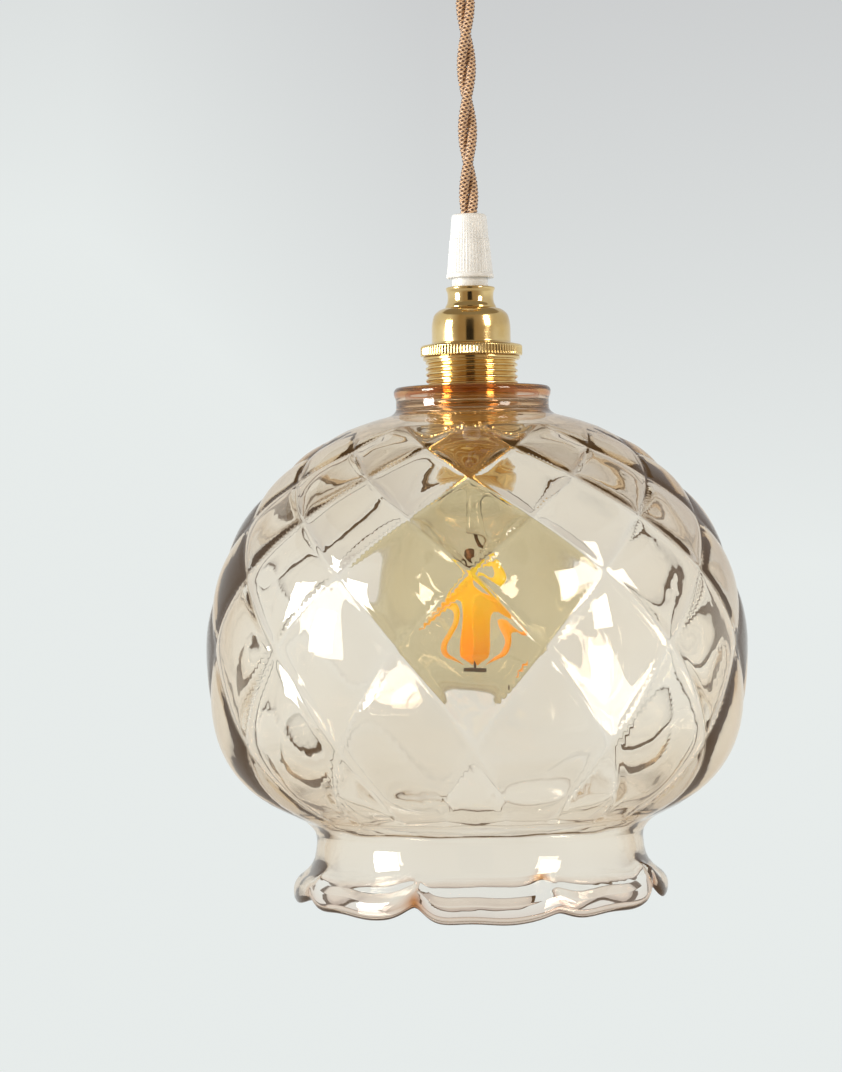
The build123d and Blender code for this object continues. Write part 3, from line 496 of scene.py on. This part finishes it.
# %% [markdown]
# A strand's centre goes round the cord's line on a circle a little smaller than its own radius, so
# the two strands press together. Its section stands square to its own direction. The braid is two
# families of yarns that cross: the height of the weave is the root of the product of two sine
# waves, one along each family, and it makes a scale-like pick every 1.8 mm.


# %% Cord: the strands
def strand(path, start_deg, rows=800, columns=32, pick=1.8, yarns=4, relief=0.7):
    """Points[row, column] of one braided strand, in metres, closed to a point at both ends.

    The turn about the cord is one circle for each twist pitch of height. The radius is the
    strand's, less the relief times one minus the weave's height.
    """
    z = np.linspace(path[0, 2], path[-1, 2], rows) / MM
    turn = np.radians(start_deg - 90) + 2 * np.pi * (z - TWIST_FRONT_Z) / TWIST_PITCH
    rate = 2 * np.pi * STRAND_OFFSET / TWIST_PITCH
    along = np.stack([rate * np.sin(turn), -rate * np.cos(turn), -np.ones(rows)], axis=-1)
    along /= np.linalg.norm(along, axis=1, keepdims=True)
    outward = np.stack([np.cos(turn), np.sin(turn), np.zeros(rows)], axis=-1)
    across = np.cross(outward, along)
    centre = outward * STRAND_OFFSET + np.stack([0 * z, 0 * z, z], axis=-1)
    angle = np.arange(columns) * 2 * np.pi / columns
    run = np.abs(z - z[0])[:, None] * math.hypot(1, rate) / pick
    lean = yarns * angle / (2 * np.pi)
    weave = np.sqrt(np.abs(np.sin(np.pi * (run + lean)) * np.sin(np.pi * (run - lean))))
    radius = STRAND_RADIUS - relief * (1 - weave)
    radius[[0, -1]] = 0
    ring = outward[:, None] * np.cos(angle)[None, :, None] + across[:, None] * -np.sin(angle)[None, :, None]
    return (centre[:, None] + radius[..., None] * ring) * MM


def joined(name, pieces):
    """One object from several that share a material."""
    with bpy.context.temp_override(active_object=pieces[0], selected_editable_objects=pieces):
        bpy.ops.object.join()
    pieces[0].name = name
    return pieces[0]


THREADS_ROUND, THREAD_REPEAT = 8.0, 1.7  # threads round a strand, and mm of strand to one repeat
thread_repeats = (CORD_ROUTE[0][2] - CORD_ROUTE[-1][2]) / THREAD_REPEAT
strands = [
    grid_object(f"strand_{start}", strand(cord_path, start), uv_size=(THREADS_ROUND, thread_repeats),
                merge=True)
    for start in (0, 180)
]
cord_piece = joined("twisted_cord", strands)
stands_for(cord_piece, "cord", "pendant")

# %% [markdown]
# The yarn is rayon: a golden beige that shines along its threads. The gaps of the braid are painted
# much darker, a painted shade for the light that gets lost between the picks. Pointiness says how far
# a point stands out from the mesh about it, so it tells a pick from a gap. The fine lines run with the
# yarns.

# %% Cord: rayon braid
braid, braid_tree, braid_shader = start_material("braided_rayon", {
    "Roughness": 0.30, "Sheen Weight": 0.15, "Sheen Roughness": 0.4, "Specular IOR Level": 0.8})
braid_uv = add_node(braid_tree, "ShaderNodeTexCoord").outputs["UV"]


def fine_threads(degrees):
    """Noise on the strand's UV, squeezed ten times into threads that lean by so many degrees."""
    leaning_uv = add_node(braid_tree, "ShaderNodeMapping", {
        "Vector": braid_uv, "Rotation": (0, 0, math.radians(degrees)), "Scale": (4.0, 0.4, 1.0)})
    return add_node(braid_tree, "ShaderNodeTexNoise", {
        "Vector": leaning_uv.outputs["Vector"], "Scale": 3.0, "Detail": 2.0}).outputs["Fac"]


both_threads = add_node(braid_tree, "ShaderNodeMath", {0: fine_threads(45), 1: fine_threads(-45)},
                        operation="MAXIMUM")
thread_relief = add_node(braid_tree, "ShaderNodeBump", {
    "Height": both_threads.outputs["Value"], "Distance": 0.12 * MM})
pick_height = add_node(braid_tree, "ShaderNodeNewGeometry").outputs["Pointiness"]
# Dark in the gaps is painted shade; light on the picks is the yarn's own beige.
yarn_tone_and_gap_shade = add_node(braid_tree, "ShaderNodeValToRGB", {"Fac": pick_height},
                     [(0.455, "401406"), (0.515, "E8C096")])
plug(braid_tree, braid_shader, {"Base Color": yarn_tone_and_gap_shade.outputs["Color"],
                                "Normal": thread_relief.outputs["Normal"]})
cord_piece.data.materials.append(braid)
print("cord faces:", len(cord_piece.data.polygons))

# %% [markdown]
# ## The glass shade
#
# The section is one closed loop: down the outside from the rim of the collar, over the globe, in
# at the crease, out to the lip, and back up the inside to the hole where the rings clamp it. The
# wall stays nearly even in thickness down the flare, or it would bend the view like a prism.
#
# The pattern was pressed into the glass by a mould with two mirror families of spiral grooves,
# twelve each, so the pillows between them are diamonds that grow taller down the globe. With
# turn(z) = 50.8 deg x ln(1 + depth / 27 mm) - 30 deg, a groove runs wherever angle + turn or
# angle - turn is a whole number of twelfths. Rows of the grid are evenly spaced in turn(z) and
# columns evenly in angle, so the grooves always pass through grid points and come out crisp.

# %% Shade: section
PILLOWS, GRID_PER_PILLOW = 12, 32
PATTERN_TOP, CREASE_Z = -246.9, -411.0
GLOBE_RADIUS, EQUATOR_Z, CROWN_HEIGHT, BELLY_DEPTH, BELLY_POWER = 113.9, -339.6, 105.0, 79.2, 3.1
GLASS_WALL = 4.0


def globe_radius(z, inset=0.0):
    """Radius of the globe: an ellipse above the equator, a squarer curve below it."""
    above = np.sqrt(np.clip(1 - (np.abs(z - EQUATOR_Z) / (CROWN_HEIGHT - inset)) ** 2, 0, 1))
    drop = np.clip(1 - (np.abs(EQUATOR_Z - z) / (BELLY_DEPTH - inset)) ** BELLY_POWER, 0, 1)
    return (GLOBE_RADIUS - inset) * np.where(z > EQUATOR_Z, above, drop ** (1 / BELLY_POWER))


def groove_turn(z):
    """Degrees that a groove has turned at height z."""
    return 50.8 * np.log1p((PATTERN_TOP - z) / 27.0) - 30.0


def groove_height(turn):
    """Height at which a groove has turned by so many degrees."""
    return PATTERN_TOP - 27.0 * np.expm1((turn + 30.0) / 50.8)


step_deg = 360 / PILLOWS / GRID_PER_PILLOW
outer_z = groove_height(np.arange(-30.0, groove_turn(CREASE_Z + 0.8), step_deg))
inner_z = groove_height(np.linspace(groove_turn(-404.0), groove_turn(-247.0), 44))
outer_globe = np.stack([globe_radius(outer_z), outer_z], axis=-1)
inner_globe = np.stack([globe_radius(inner_z, GLASS_WALL), inner_z], axis=-1)
collar = rounded([
    (28.6, -229.9), (29.4, -229.1), (32.4, -229.1), (33.5, -230.6), (33.3, -232.6), (32.5, -234.2),
    (32.5, -239.2, 1.6), (35.2, -241.2, 2.0), (44.0, -243.4, 6.0), outer_globe[0],
], 0.7, 3)[:-1]
foot = rounded([
    outer_globe[-1], (74.0, -412.0), (72.0, -413.6), (69.6, -416.6), (69.1, -420.0), (70.0, -428.0, 5.0),
    (73.0, -435.0, 5.0), (77.6, -440.2, 3.0), (79.5, -444.6, 3.0), (79.3, -448.6, 1.5), (78.1, -450.6, 1.5),
    (76.8, -448.8, 1.5), (76.7, -445.2, 3.0), (75.0, -442.0, 3.0), (70.3, -436.4, 4.0), (66.6, -429.0, 5.0),
    (65.2, -420.0, 3.0),
    (66.4, -415.0, 3.0), (70.5, -409.4, 3.0), (76.0, -406.6, 3.0), inner_globe[0],
], 2.0, 3)[1:-1]
floor = rounded([
    inner_globe[-1], (34.0, -243.4, 3.0), (27.5, -240.3, 3.0), (21.5, -240.0), (20.9, -239.4),
    (20.9, -236.6), (21.5, -236.0), (27.6, -236.0, 1.0), (28.5, -235.0, 1.0), (28.6, -229.9),
], 0.4, 3)[1:-1]
section = np.vstack([collar, outer_globe, foot, inner_globe, floor])
patterned = np.zeros(len(section))
patterned[len(collar):len(collar) + len(outer_globe)] = 1.0
along_section = np.roll(section, -1, axis=0) - np.roll(section, 1, axis=0)
outwards = np.stack([-along_section[:, 1], along_section[:, 0]], axis=-1)
outwards /= np.linalg.norm(outwards, axis=1, keepdims=True)
print("rows:", len(section), "of them patterned:", int(patterned.sum()))

# %% [markdown]
# The relief is the product of two sine waves, one for each family of grooves, raised to a small
# power: that gives broad, nearly flat pillows between narrow grooves. It fades out near the
# collar. The inside follows the pillows softly and adds slow waves, as blown glass does. The lip
# has eight lobes. Between two lobes the hot edge was pushed in and up, more at every other one.


# %% Shade: surface
def fade(value, low, high):
    """0 below low, 1 above high, and a smooth step between them."""
    share = np.clip((value - low) / (high - low), 0, 1)
    return share * share * (3 - 2 * share)


PATTERN_FRONT_DEG, NOTCH_DEG, LOBES = -92.0, -111.5, 8
PILLOW_DEPTH, PILLOW_POWER, PILLOW_MEAN = 2.6, 0.42, 0.62
columns = PILLOWS * GRID_PER_PILLOW
angle_deg = PATTERN_FRONT_DEG + np.arange(columns) * 360 / columns
around, height = np.meshgrid(np.radians(angle_deg), section[:, 1])
turn_rows = groove_turn(np.clip(section[:, 1:], CREASE_Z, PATTERN_TOP + 1))
first_family = (angle_deg - PATTERN_FRONT_DEG + turn_rows) * PILLOWS / 360
second_family = (angle_deg - PATTERN_FRONT_DEG - turn_rows) * PILLOWS / 360
crossing = np.abs(np.sin(np.pi * first_family) * np.sin(np.pi * second_family))
strength = patterned * fade(-section[:, 1], 247.0, 258.0) * (1 - 0.7 * fade(-section[:, 1], 396.0, 411.0))
relief = PILLOW_DEPTH * (crossing**PILLOW_POWER - PILLOW_MEAN) * strength[:, None]

inside = np.zeros(len(section))
inside[len(collar) + len(outer_globe) + len(foot):-len(floor)] = 1.0
waves = 0.5 * np.sin(3 * around + height / 16.0) + 0.4 * np.sin(5 * around - height / 11.0 + 1.3)
relief += inside[:, None] * (waves - 0.9 * (crossing - 0.4)) * fade(-height, 250.0, 268.0)

from_notch = np.mod(np.degrees(around) - NOTCH_DEG + 180 / LOBES, 360 / LOBES) - 180 / LOBES
notch_size = 0.72 + 0.28 * np.cos(LOBES / 2 * (around - np.radians(NOTCH_DEG)))
notch = notch_size * np.exp(-np.abs(from_notch / 5.0) ** 1.6)
lip = fade(-height, 424.0, 446.0)
from_front = around - np.radians(PATTERN_FRONT_DEG)
scallop = np.exp(-((height - CREASE_Z) / 4.0) ** 2) * np.cos(PILLOWS * from_front)
radius = section[:, :1] + outwards[:, :1] * relief - 2.2 * notch * lip + 0.7 * scallop
raised = 6.0 * notch + 5.0 * np.cos(around) ** 2 + 0.4 * np.cos(LOBES * 2 * around + 1)
height = height + outwards[:, 1:] * relief + raised * lip
shade_points = np.stack([radius * np.cos(around), radius * np.sin(around), height], axis=-1) * MM
shade = grid_object("quilted_shade", shade_points, closed_rows=True, material=amber_glass)
# How much glass is gathered: a share on the collar's wall, 1 on its rim, and the curls of the lip.
gathered = 0.3 * fade(height, -243.0, -239.0) + 0.7 * fade(height, -234.0, -232.6)
gathered += (0.2 + 0.8 * notch**2) * fade(-section[:, 1:], 441.0, 448.0)
shade.data.attributes.new("gathered", "FLOAT", "POINT").data.foreach_set("value", gathered.ravel())
stands_for(shade, "shade", "shade_body")
print("wall radii, mm:", float(radius.min()), "to", round(float(radius.max()), 2))
print("shade triangles:", 2 * len(shade.data.polygons))

# %% [markdown]
# ## Cord grip
#
# A tapered nut of natural nylon with fine moulded flutes squeezes the jaws of a gland round the
# cord. The gland's collar shows below the nut's thin flared lip.


# %% Grip and gland
def ribbed(count, depth, low, high, sharpness=1.0):
    """Relief function: ribs that run down the side between two heights, outside the bore.

    A rib's height is a raised cosine of the angle, to the power of sharpness, and the wall is
    lowered by the depth, in mm, where a rib is not. The bore's radius is the mean of the
    narrowest point's and the narrowest row's.
    """
    def shape(points):
        radius = np.hypot(points[..., 0], points[..., 1])
        turn = np.arctan2(points[..., 1], points[..., 0])
        bore = 0.5 * (radius.min() + radius.max(axis=1).min())
        rib = (0.5 + 0.5 * np.cos(count * turn)) ** sharpness
        z = points[..., 2] / MM
        mask = (radius > bore) * fade(z, low - 0.3, low + 0.3) * (1 - fade(z, high - 0.3, high + 0.3))
        scale = 1 - depth * MM * (1 - rib) * mask / radius
        return points * np.stack([scale, scale, np.ones_like(scale)], axis=-1)
    return shape


turned("grip_nut_ribbed", "grip_nut", "pendant", [
    (4.6, -155.6), (6.7, -155.6, 1.2), (7.45, -156.4, 1.0), (8.2, -166.3), (8.45, -166.6), (8.5, -167.0),
    (9.75, -180.7, 1.0), (10.1, -181.5), (10.1, -182.8), (8.0, -182.8), (7.6, -181.0), (6.2, -167.0),
    (4.6, -160.0),
], nylon, radius=0.3, columns=352, relief=ribbed(44, 0.22, -180.6, -157.2))
turned("gland_collar", "grip_gland", "pendant", [
    (3.4, -176.0), (5.6, -176.0), (6.0, -181.0), (7.65, -181.4), (7.65, -186.6), (5.2, -186.6),
    (4.95, -187.0), (4.95, -196.0), (3.4, -196.0),
], nylon, columns=96)
print("grip pieces: grip_nut_ribbed, gland_collar")

# %% [markdown]
# ## Brass holder
#
# The neck is a spool with a hollow waist, the dome is spun from sheet, and the sleeve carries a
# 40 mm thread of 2.5 mm pitch: a true helix, cut by lowering the wall with a cosine profile. The
# wall needs a point every quarter of a millimetre of height for that.


# %% Neck, dome and sleeve
turned("neck_and_dome", "holder_cap", "pendant", [
    (5.1, -186.7), (10.0, -186.6), (10.5, -187.0), (10.45, -187.7), (9.85, -189.0, 1.2), (9.7, -190.9, 1.2),
    (9.9, -193.2, 1.2), (10.85, -195.0), (10.85, -195.5), (13.2, -196.1, 1.5), (15.8, -198.2, 3.0),
    (16.8, -202.5, 3.0), (16.8, -210.2), (17.2, -210.8), (15.9, -210.8), (15.8, -202.5, 2.0),
    (14.8, -199.2, 2.0), (12.6, -197.2, 1.0), (5.1, -196.8),
], brass, radius=0.35, columns=160, steps=6)


def threaded(pitch, depth, top, bottom, outer):
    """Relief function: a right-handed thread cut into the wall outside a given radius.

    The groove's depth is a raised cosine of height over pitch less the share of a turn.
    """
    def shape(points):
        radius = np.hypot(points[..., 0], points[..., 1])
        z = points[..., 2] / MM
        phase = z / pitch - np.arctan2(points[..., 1], points[..., 0]) / (2 * np.pi)
        groove = (0.5 - 0.5 * np.cos(2 * np.pi * phase)) ** 1.4
        mask = (radius > outer * MM) * fade(z, bottom, bottom + 1.2) * (1 - fade(z, top - 1.2, top))
        scale = 1 - depth * MM * groove * mask / radius
        return points * np.stack([scale, scale, np.ones_like(scale)], axis=-1)
    return shape


sleeve_wall = [(19.65, z, 0.01) for z in np.arange(-212.5, -270.9, -0.25)]
turned("threaded_sleeve", "holder_shell", "pendant", [
    (14.7, -203.6), (15.6, -203.0), (15.7, -210.8), (19.0, -210.9), (19.6, -211.4), *sleeve_wall,
    (19.3, -271.2), (17.2, -271.2), (17.1, -270.6), (17.1, -213.0), (14.6, -212.6),
], brass, radius=0.2, columns=128, steps=2, relief=threaded(2.5, 1.05, -217.5, -270.0, 18.5))
print("thread rows down the sleeve:", len(sleeve_wall))

# %% [markdown]
# ## Shade rings
#
# Two brass rings run on the sleeve's thread, one above the glass floor and one below it. Straight
# knurls were rolled into their edges, and they are ribs in the mesh, eight columns to a rib. Soft
# washers keep the brass off the glass.

# %% Shade rings
knurled_wall = [(21.6, z, 0.01) for z in (-212.3, -213, -214, -215, -215.5)]
turned("knurled_ring", "upper_ring", "ring_upper", [
    (19.85, -211.9), (20.4, -211.3), (21.2, -211.4), (21.6, -211.9), *knurled_wall,
    (21.3, -216.1), (20.4, -216.2), (19.85, -215.6),
], brass, radius=0.15, columns=760, steps=3, relief=ribbed(95, 0.42, -215.6, -212.2, 0.8))
turned("ring_washer", "upper_ring_washer", "ring_washer", [
    (19.85, -216.4), (20.5, -216.3), (20.7, -216.7), (20.7, -217.5), (20.4, -217.8), (19.85, -217.7),
], brass, radius=0.15)
turned("clamp_ring", "lower_ring", "ring_lower", [
    (19.85, -241.4), (23.6, -241.2), (24.0, -241.7), (24.0, -242.4), (24.0, -243.4), (23.6, -243.9),
    (22.2, -244.0), (22.0, -244.4), (22.0, -245.4), (22.0, -246.5), (21.6, -246.9), (19.85, -246.7),
], brass, radius=0.2, columns=480, relief=ribbed(60, 0.4, -246.4, -241.6, 0.8))
turned("soft_washer", "shade_washer", "shade_body", [
    (21.0, -240.1), (25.9, -240.1), (25.9, -241.1), (21.0, -241.1),
], silicone, radius=0.2)
print("ring pieces: knurled_ring, ring_washer, clamp_ring, soft_washer")

# %% [markdown]
# ## Bulb
#
# An 80 mm globe bulb of amber-tinted glass with LED filaments: flexible strips in yellow
# silicone, hung between two dark crimps on a glass stem. The envelope is blown, so its wall is
# thin and even: the same curve twice, a little apart.

# %% Bulb glass and cap
BALL_RADIUS, BALL_Z, BULB_WALL = 40.0, -319.5, 0.9
NECK_RADIUS, NECK_TOP, FLARE_RADIUS = 11.8, -263.5, 14.0


def bulb_skin(inset):
    """Outline down the bulb, (r, z) in mm: a straight neck, a flare and a ball.

    The flare is an arc that touches the neck and the ball. It ends where the line between its
    centre and the ball's centre crosses the ball.
    """
    ball, neck, flare = BALL_RADIUS - inset, NECK_RADIUS - inset, FLARE_RADIUS + inset
    drop = math.sqrt((ball + flare) ** 2 - (neck + flare) ** 2)
    flare_end = math.asin((neck + flare) / (ball + flare))
    bend = np.linspace(0, math.pi / 2 - flare_end, 12)
    polar = np.linspace(flare_end, math.pi, 72)[1:]
    return np.vstack([
        [(neck, NECK_TOP), (neck, BALL_Z + drop + 2)],
        np.stack([neck + flare * (1 - np.cos(bend)), BALL_Z + drop - flare * np.sin(bend)], axis=-1),
        np.stack([np.maximum(ball * np.sin(polar), 0.0), BALL_Z + ball * np.cos(polar)], axis=-1),
    ])


bulb_outline = np.vstack([bulb_skin(0.0), bulb_skin(BULB_WALL)[::-1]])
bulb_points = carried_round(bulb_outline, 128)
bulb = grid_object("bulb_envelope", bulb_points, closed_rows=True, material=bulb_tint_glass, merge=True)
stands_for(bulb, "bulb_glass", "bulb")

cap_wall = [(13.3, z, 0.01) for z in np.arange(-249.0, -264.4, -0.25)]
turned("rolled_thread_cap", "bulb_cap", "bulb", [
    (6.0, -247.6), (11.6, -247.5, 1.0), (12.6, -248.4, 0.8), *cap_wall, (12.6, -265.2), (12.7, -267.3),
    (12.3, -267.5), (11.9, -267.0), (11.9, -248.6), (6.0, -248.2),
], nickel, radius=0.3, columns=128, steps=3, relief=threaded(3.629, 0.9, -248.6, -264.8, 12.2))
turned("glass_stem", "bulb_stem", "bulb", [
    (0.01, -264.0), (9.8, -264.0), (10.5, -264.4), (9.6, -267.0, 2.0), (4.2, -271.5, 3.0),
    (2.5, -277.0, 3.0), (2.4, -284.0), (3.4, -288.0, 1.5), (3.2, -291.0, 1.0), (0.01, -291.0),
], stem_glass, radius=0.4, columns=48)
print("bulb glass triangles:", 2 * len(bulb.data.polygons))

# %% [markdown]
# ### Filaments
#
# Each filament is a soft strip that carries tiny lamps under phosphor in yellow silicone. Four of
# them hang in an S between the crimps. A strip is a flat section carried along its route. The
# phosphor is more orange lower down. The bulb is off, yet the strips get a faint painted glow in
# their own tone, a painted stand-in for the light that the silicone scatters back out.


# %% Bulb filaments
STRIP_ROUTE = [(3.1, -296.4), (17.0, -308.0, 9.0), (5.0, -322.0, 9.0), (14.5, -340.0, 9.0), (4.1, -348.1)]
STRIP_WIDTH, STRIP_THICKNESS, STRIPS, FIRST_STRIP_DEG = 7.0, 1.2, 4, 12


def ribbon(route, direction, width, thickness, columns=16):
    """Points[row, column] of a flat strip along a route of (r, z) in mm, in one vertical plane.

    The section is a superellipse: the cosine and the sine of an angle, each to the power 0.7 with
    its sign kept, times half the width and half the thickness. It closes to a point at the ends.
    """
    path = rounded(route, 1.0, 14)
    path = path[np.append(True, np.hypot(*np.diff(path, axis=0).T) > 1e-6)]
    along = np.gradient(path, axis=0)
    along /= np.linalg.norm(along, axis=1, keepdims=True)
    angle = np.arange(columns) * 2 * np.pi / columns
    size = np.ones(len(path))
    size[[0, -1]] = 0
    side = size[:, None] * width / 2 * np.sign(np.cos(angle)) * np.abs(np.cos(angle)) ** 0.7
    flat = size[:, None] * thickness / 2 * np.sign(np.sin(angle)) * np.abs(np.sin(angle)) ** 0.7
    r = path[:, :1] + along[:, 1:] * flat
    z = path[:, 1:] - along[:, :1] * flat
    x = r * math.cos(direction) - side * math.sin(direction)
    y = r * math.sin(direction) + side * math.cos(direction)
    return np.stack([x, y, z], axis=-1) * MM


# The emission is a painted glow: the bulb is switched off.
phosphor, phosphor_tree, phosphor_shader = start_material("phosphor_silicone", {
    "Roughness": 0.35, "IOR": 1.41, "Subsurface Weight": 0.5, "Subsurface Scale": 1.0 * MM,
    "Emission Strength": 0.66})
strip_place = add_node(phosphor_tree, "ShaderNodeTexCoord").outputs["Object"]
strip_axes = add_node(phosphor_tree, "ShaderNodeSeparateXYZ", {"Vector": strip_place})
strip_height = add_node(phosphor_tree, "ShaderNodeMapRange", {
    "Value": strip_axes.outputs["Z"], "From Min": -0.345, "From Max": -0.300})
strip_tone_and_painted_glow = add_node(phosphor_tree, "ShaderNodeValToRGB", {"Fac": strip_height.outputs["Result"]},
                      [(0.1, "FFA51C"), (0.8, "FFDC46")])
strip_relief = add_node(phosphor_tree, "ShaderNodeBump", {
    "Height": blotches(phosphor_tree, 1.1, 2.0), "Distance": 0.15 * MM})
plug(phosphor_tree, phosphor_shader, {
    "Base Color": strip_tone_and_painted_glow.outputs["Color"], "Emission Color": strip_tone_and_painted_glow.outputs["Color"],
    "Normal": strip_relief.outputs["Normal"]})

strip_turns = [math.radians(FIRST_STRIP_DEG + 360 / STRIPS * number) for number in range(STRIPS)]
filament_strips = joined("filament_strips", [
    grid_object(f"strip_{number}", ribbon(STRIP_ROUTE, turn, STRIP_WIDTH, STRIP_THICKNESS), merge=True)
    for number, turn in enumerate(strip_turns)
])
filament_strips.data.materials.append(phosphor)
stands_for(filament_strips, "bulb_filaments", "bulb")
print("filament faces:", len(filament_strips.data.polygons))

# %% [markdown]
# ## Ceiling rose and hidden pieces
#
# The cover is a spun brass cup with a generous round to its edge, turned here like the rest. The
# other pieces are simple turned or pressed parts whose CAD shape is already their true shape, so
# they keep it and only get their finish.

# %% Rose cover and CAD pieces
turned("rose_cup", "rose_cover", "root", [
    (48.9, -0.1), (49.6, 0.0), (50.0, -0.5), (50.0, -22.0, 8.0), (50.0, -30.0, 8.0), (42.0, -30.0, 8.0),
    (14.5, -30.0), (14.3, -29.6), (14.5, -28.8), (42.0, -28.8, 7.0), (48.8, -28.8, 7.0), (48.8, -22.0, 7.0),
], brass, radius=0.3, columns=192, steps=10)

NODE_FINISH = {
    "ceiling_bracket": zinc, "terminal_screws": zinc, "neck_screw": zinc, "rose_screws": brass,
    "terminal_block": nylon, "outlet_socket": nylon, "outlet_nut": nylon, "cord_stop": nylon,
    "terminal_tubes": plain_brass, "centre_contact": plain_brass, "holder_terminals": plain_brass,
    "outlet_bush": rubber, "rose_cores": core_insulation, "lamp_cores": core_insulation,
    "holder_insulator": porcelain, "shell_liner": porcelain, "screw_shell": nickel, "bulb_tip": solder,
    "bulb_insulator": vitrite, "bulb_leads": wire, "filament_holders": wire,
}
for node, finish in NODE_FINISH.items():
    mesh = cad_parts[node].data
    mesh.materials.clear()
    mesh.materials.append(finish)
print("CAD pieces finished:", len(NODE_FINISH))
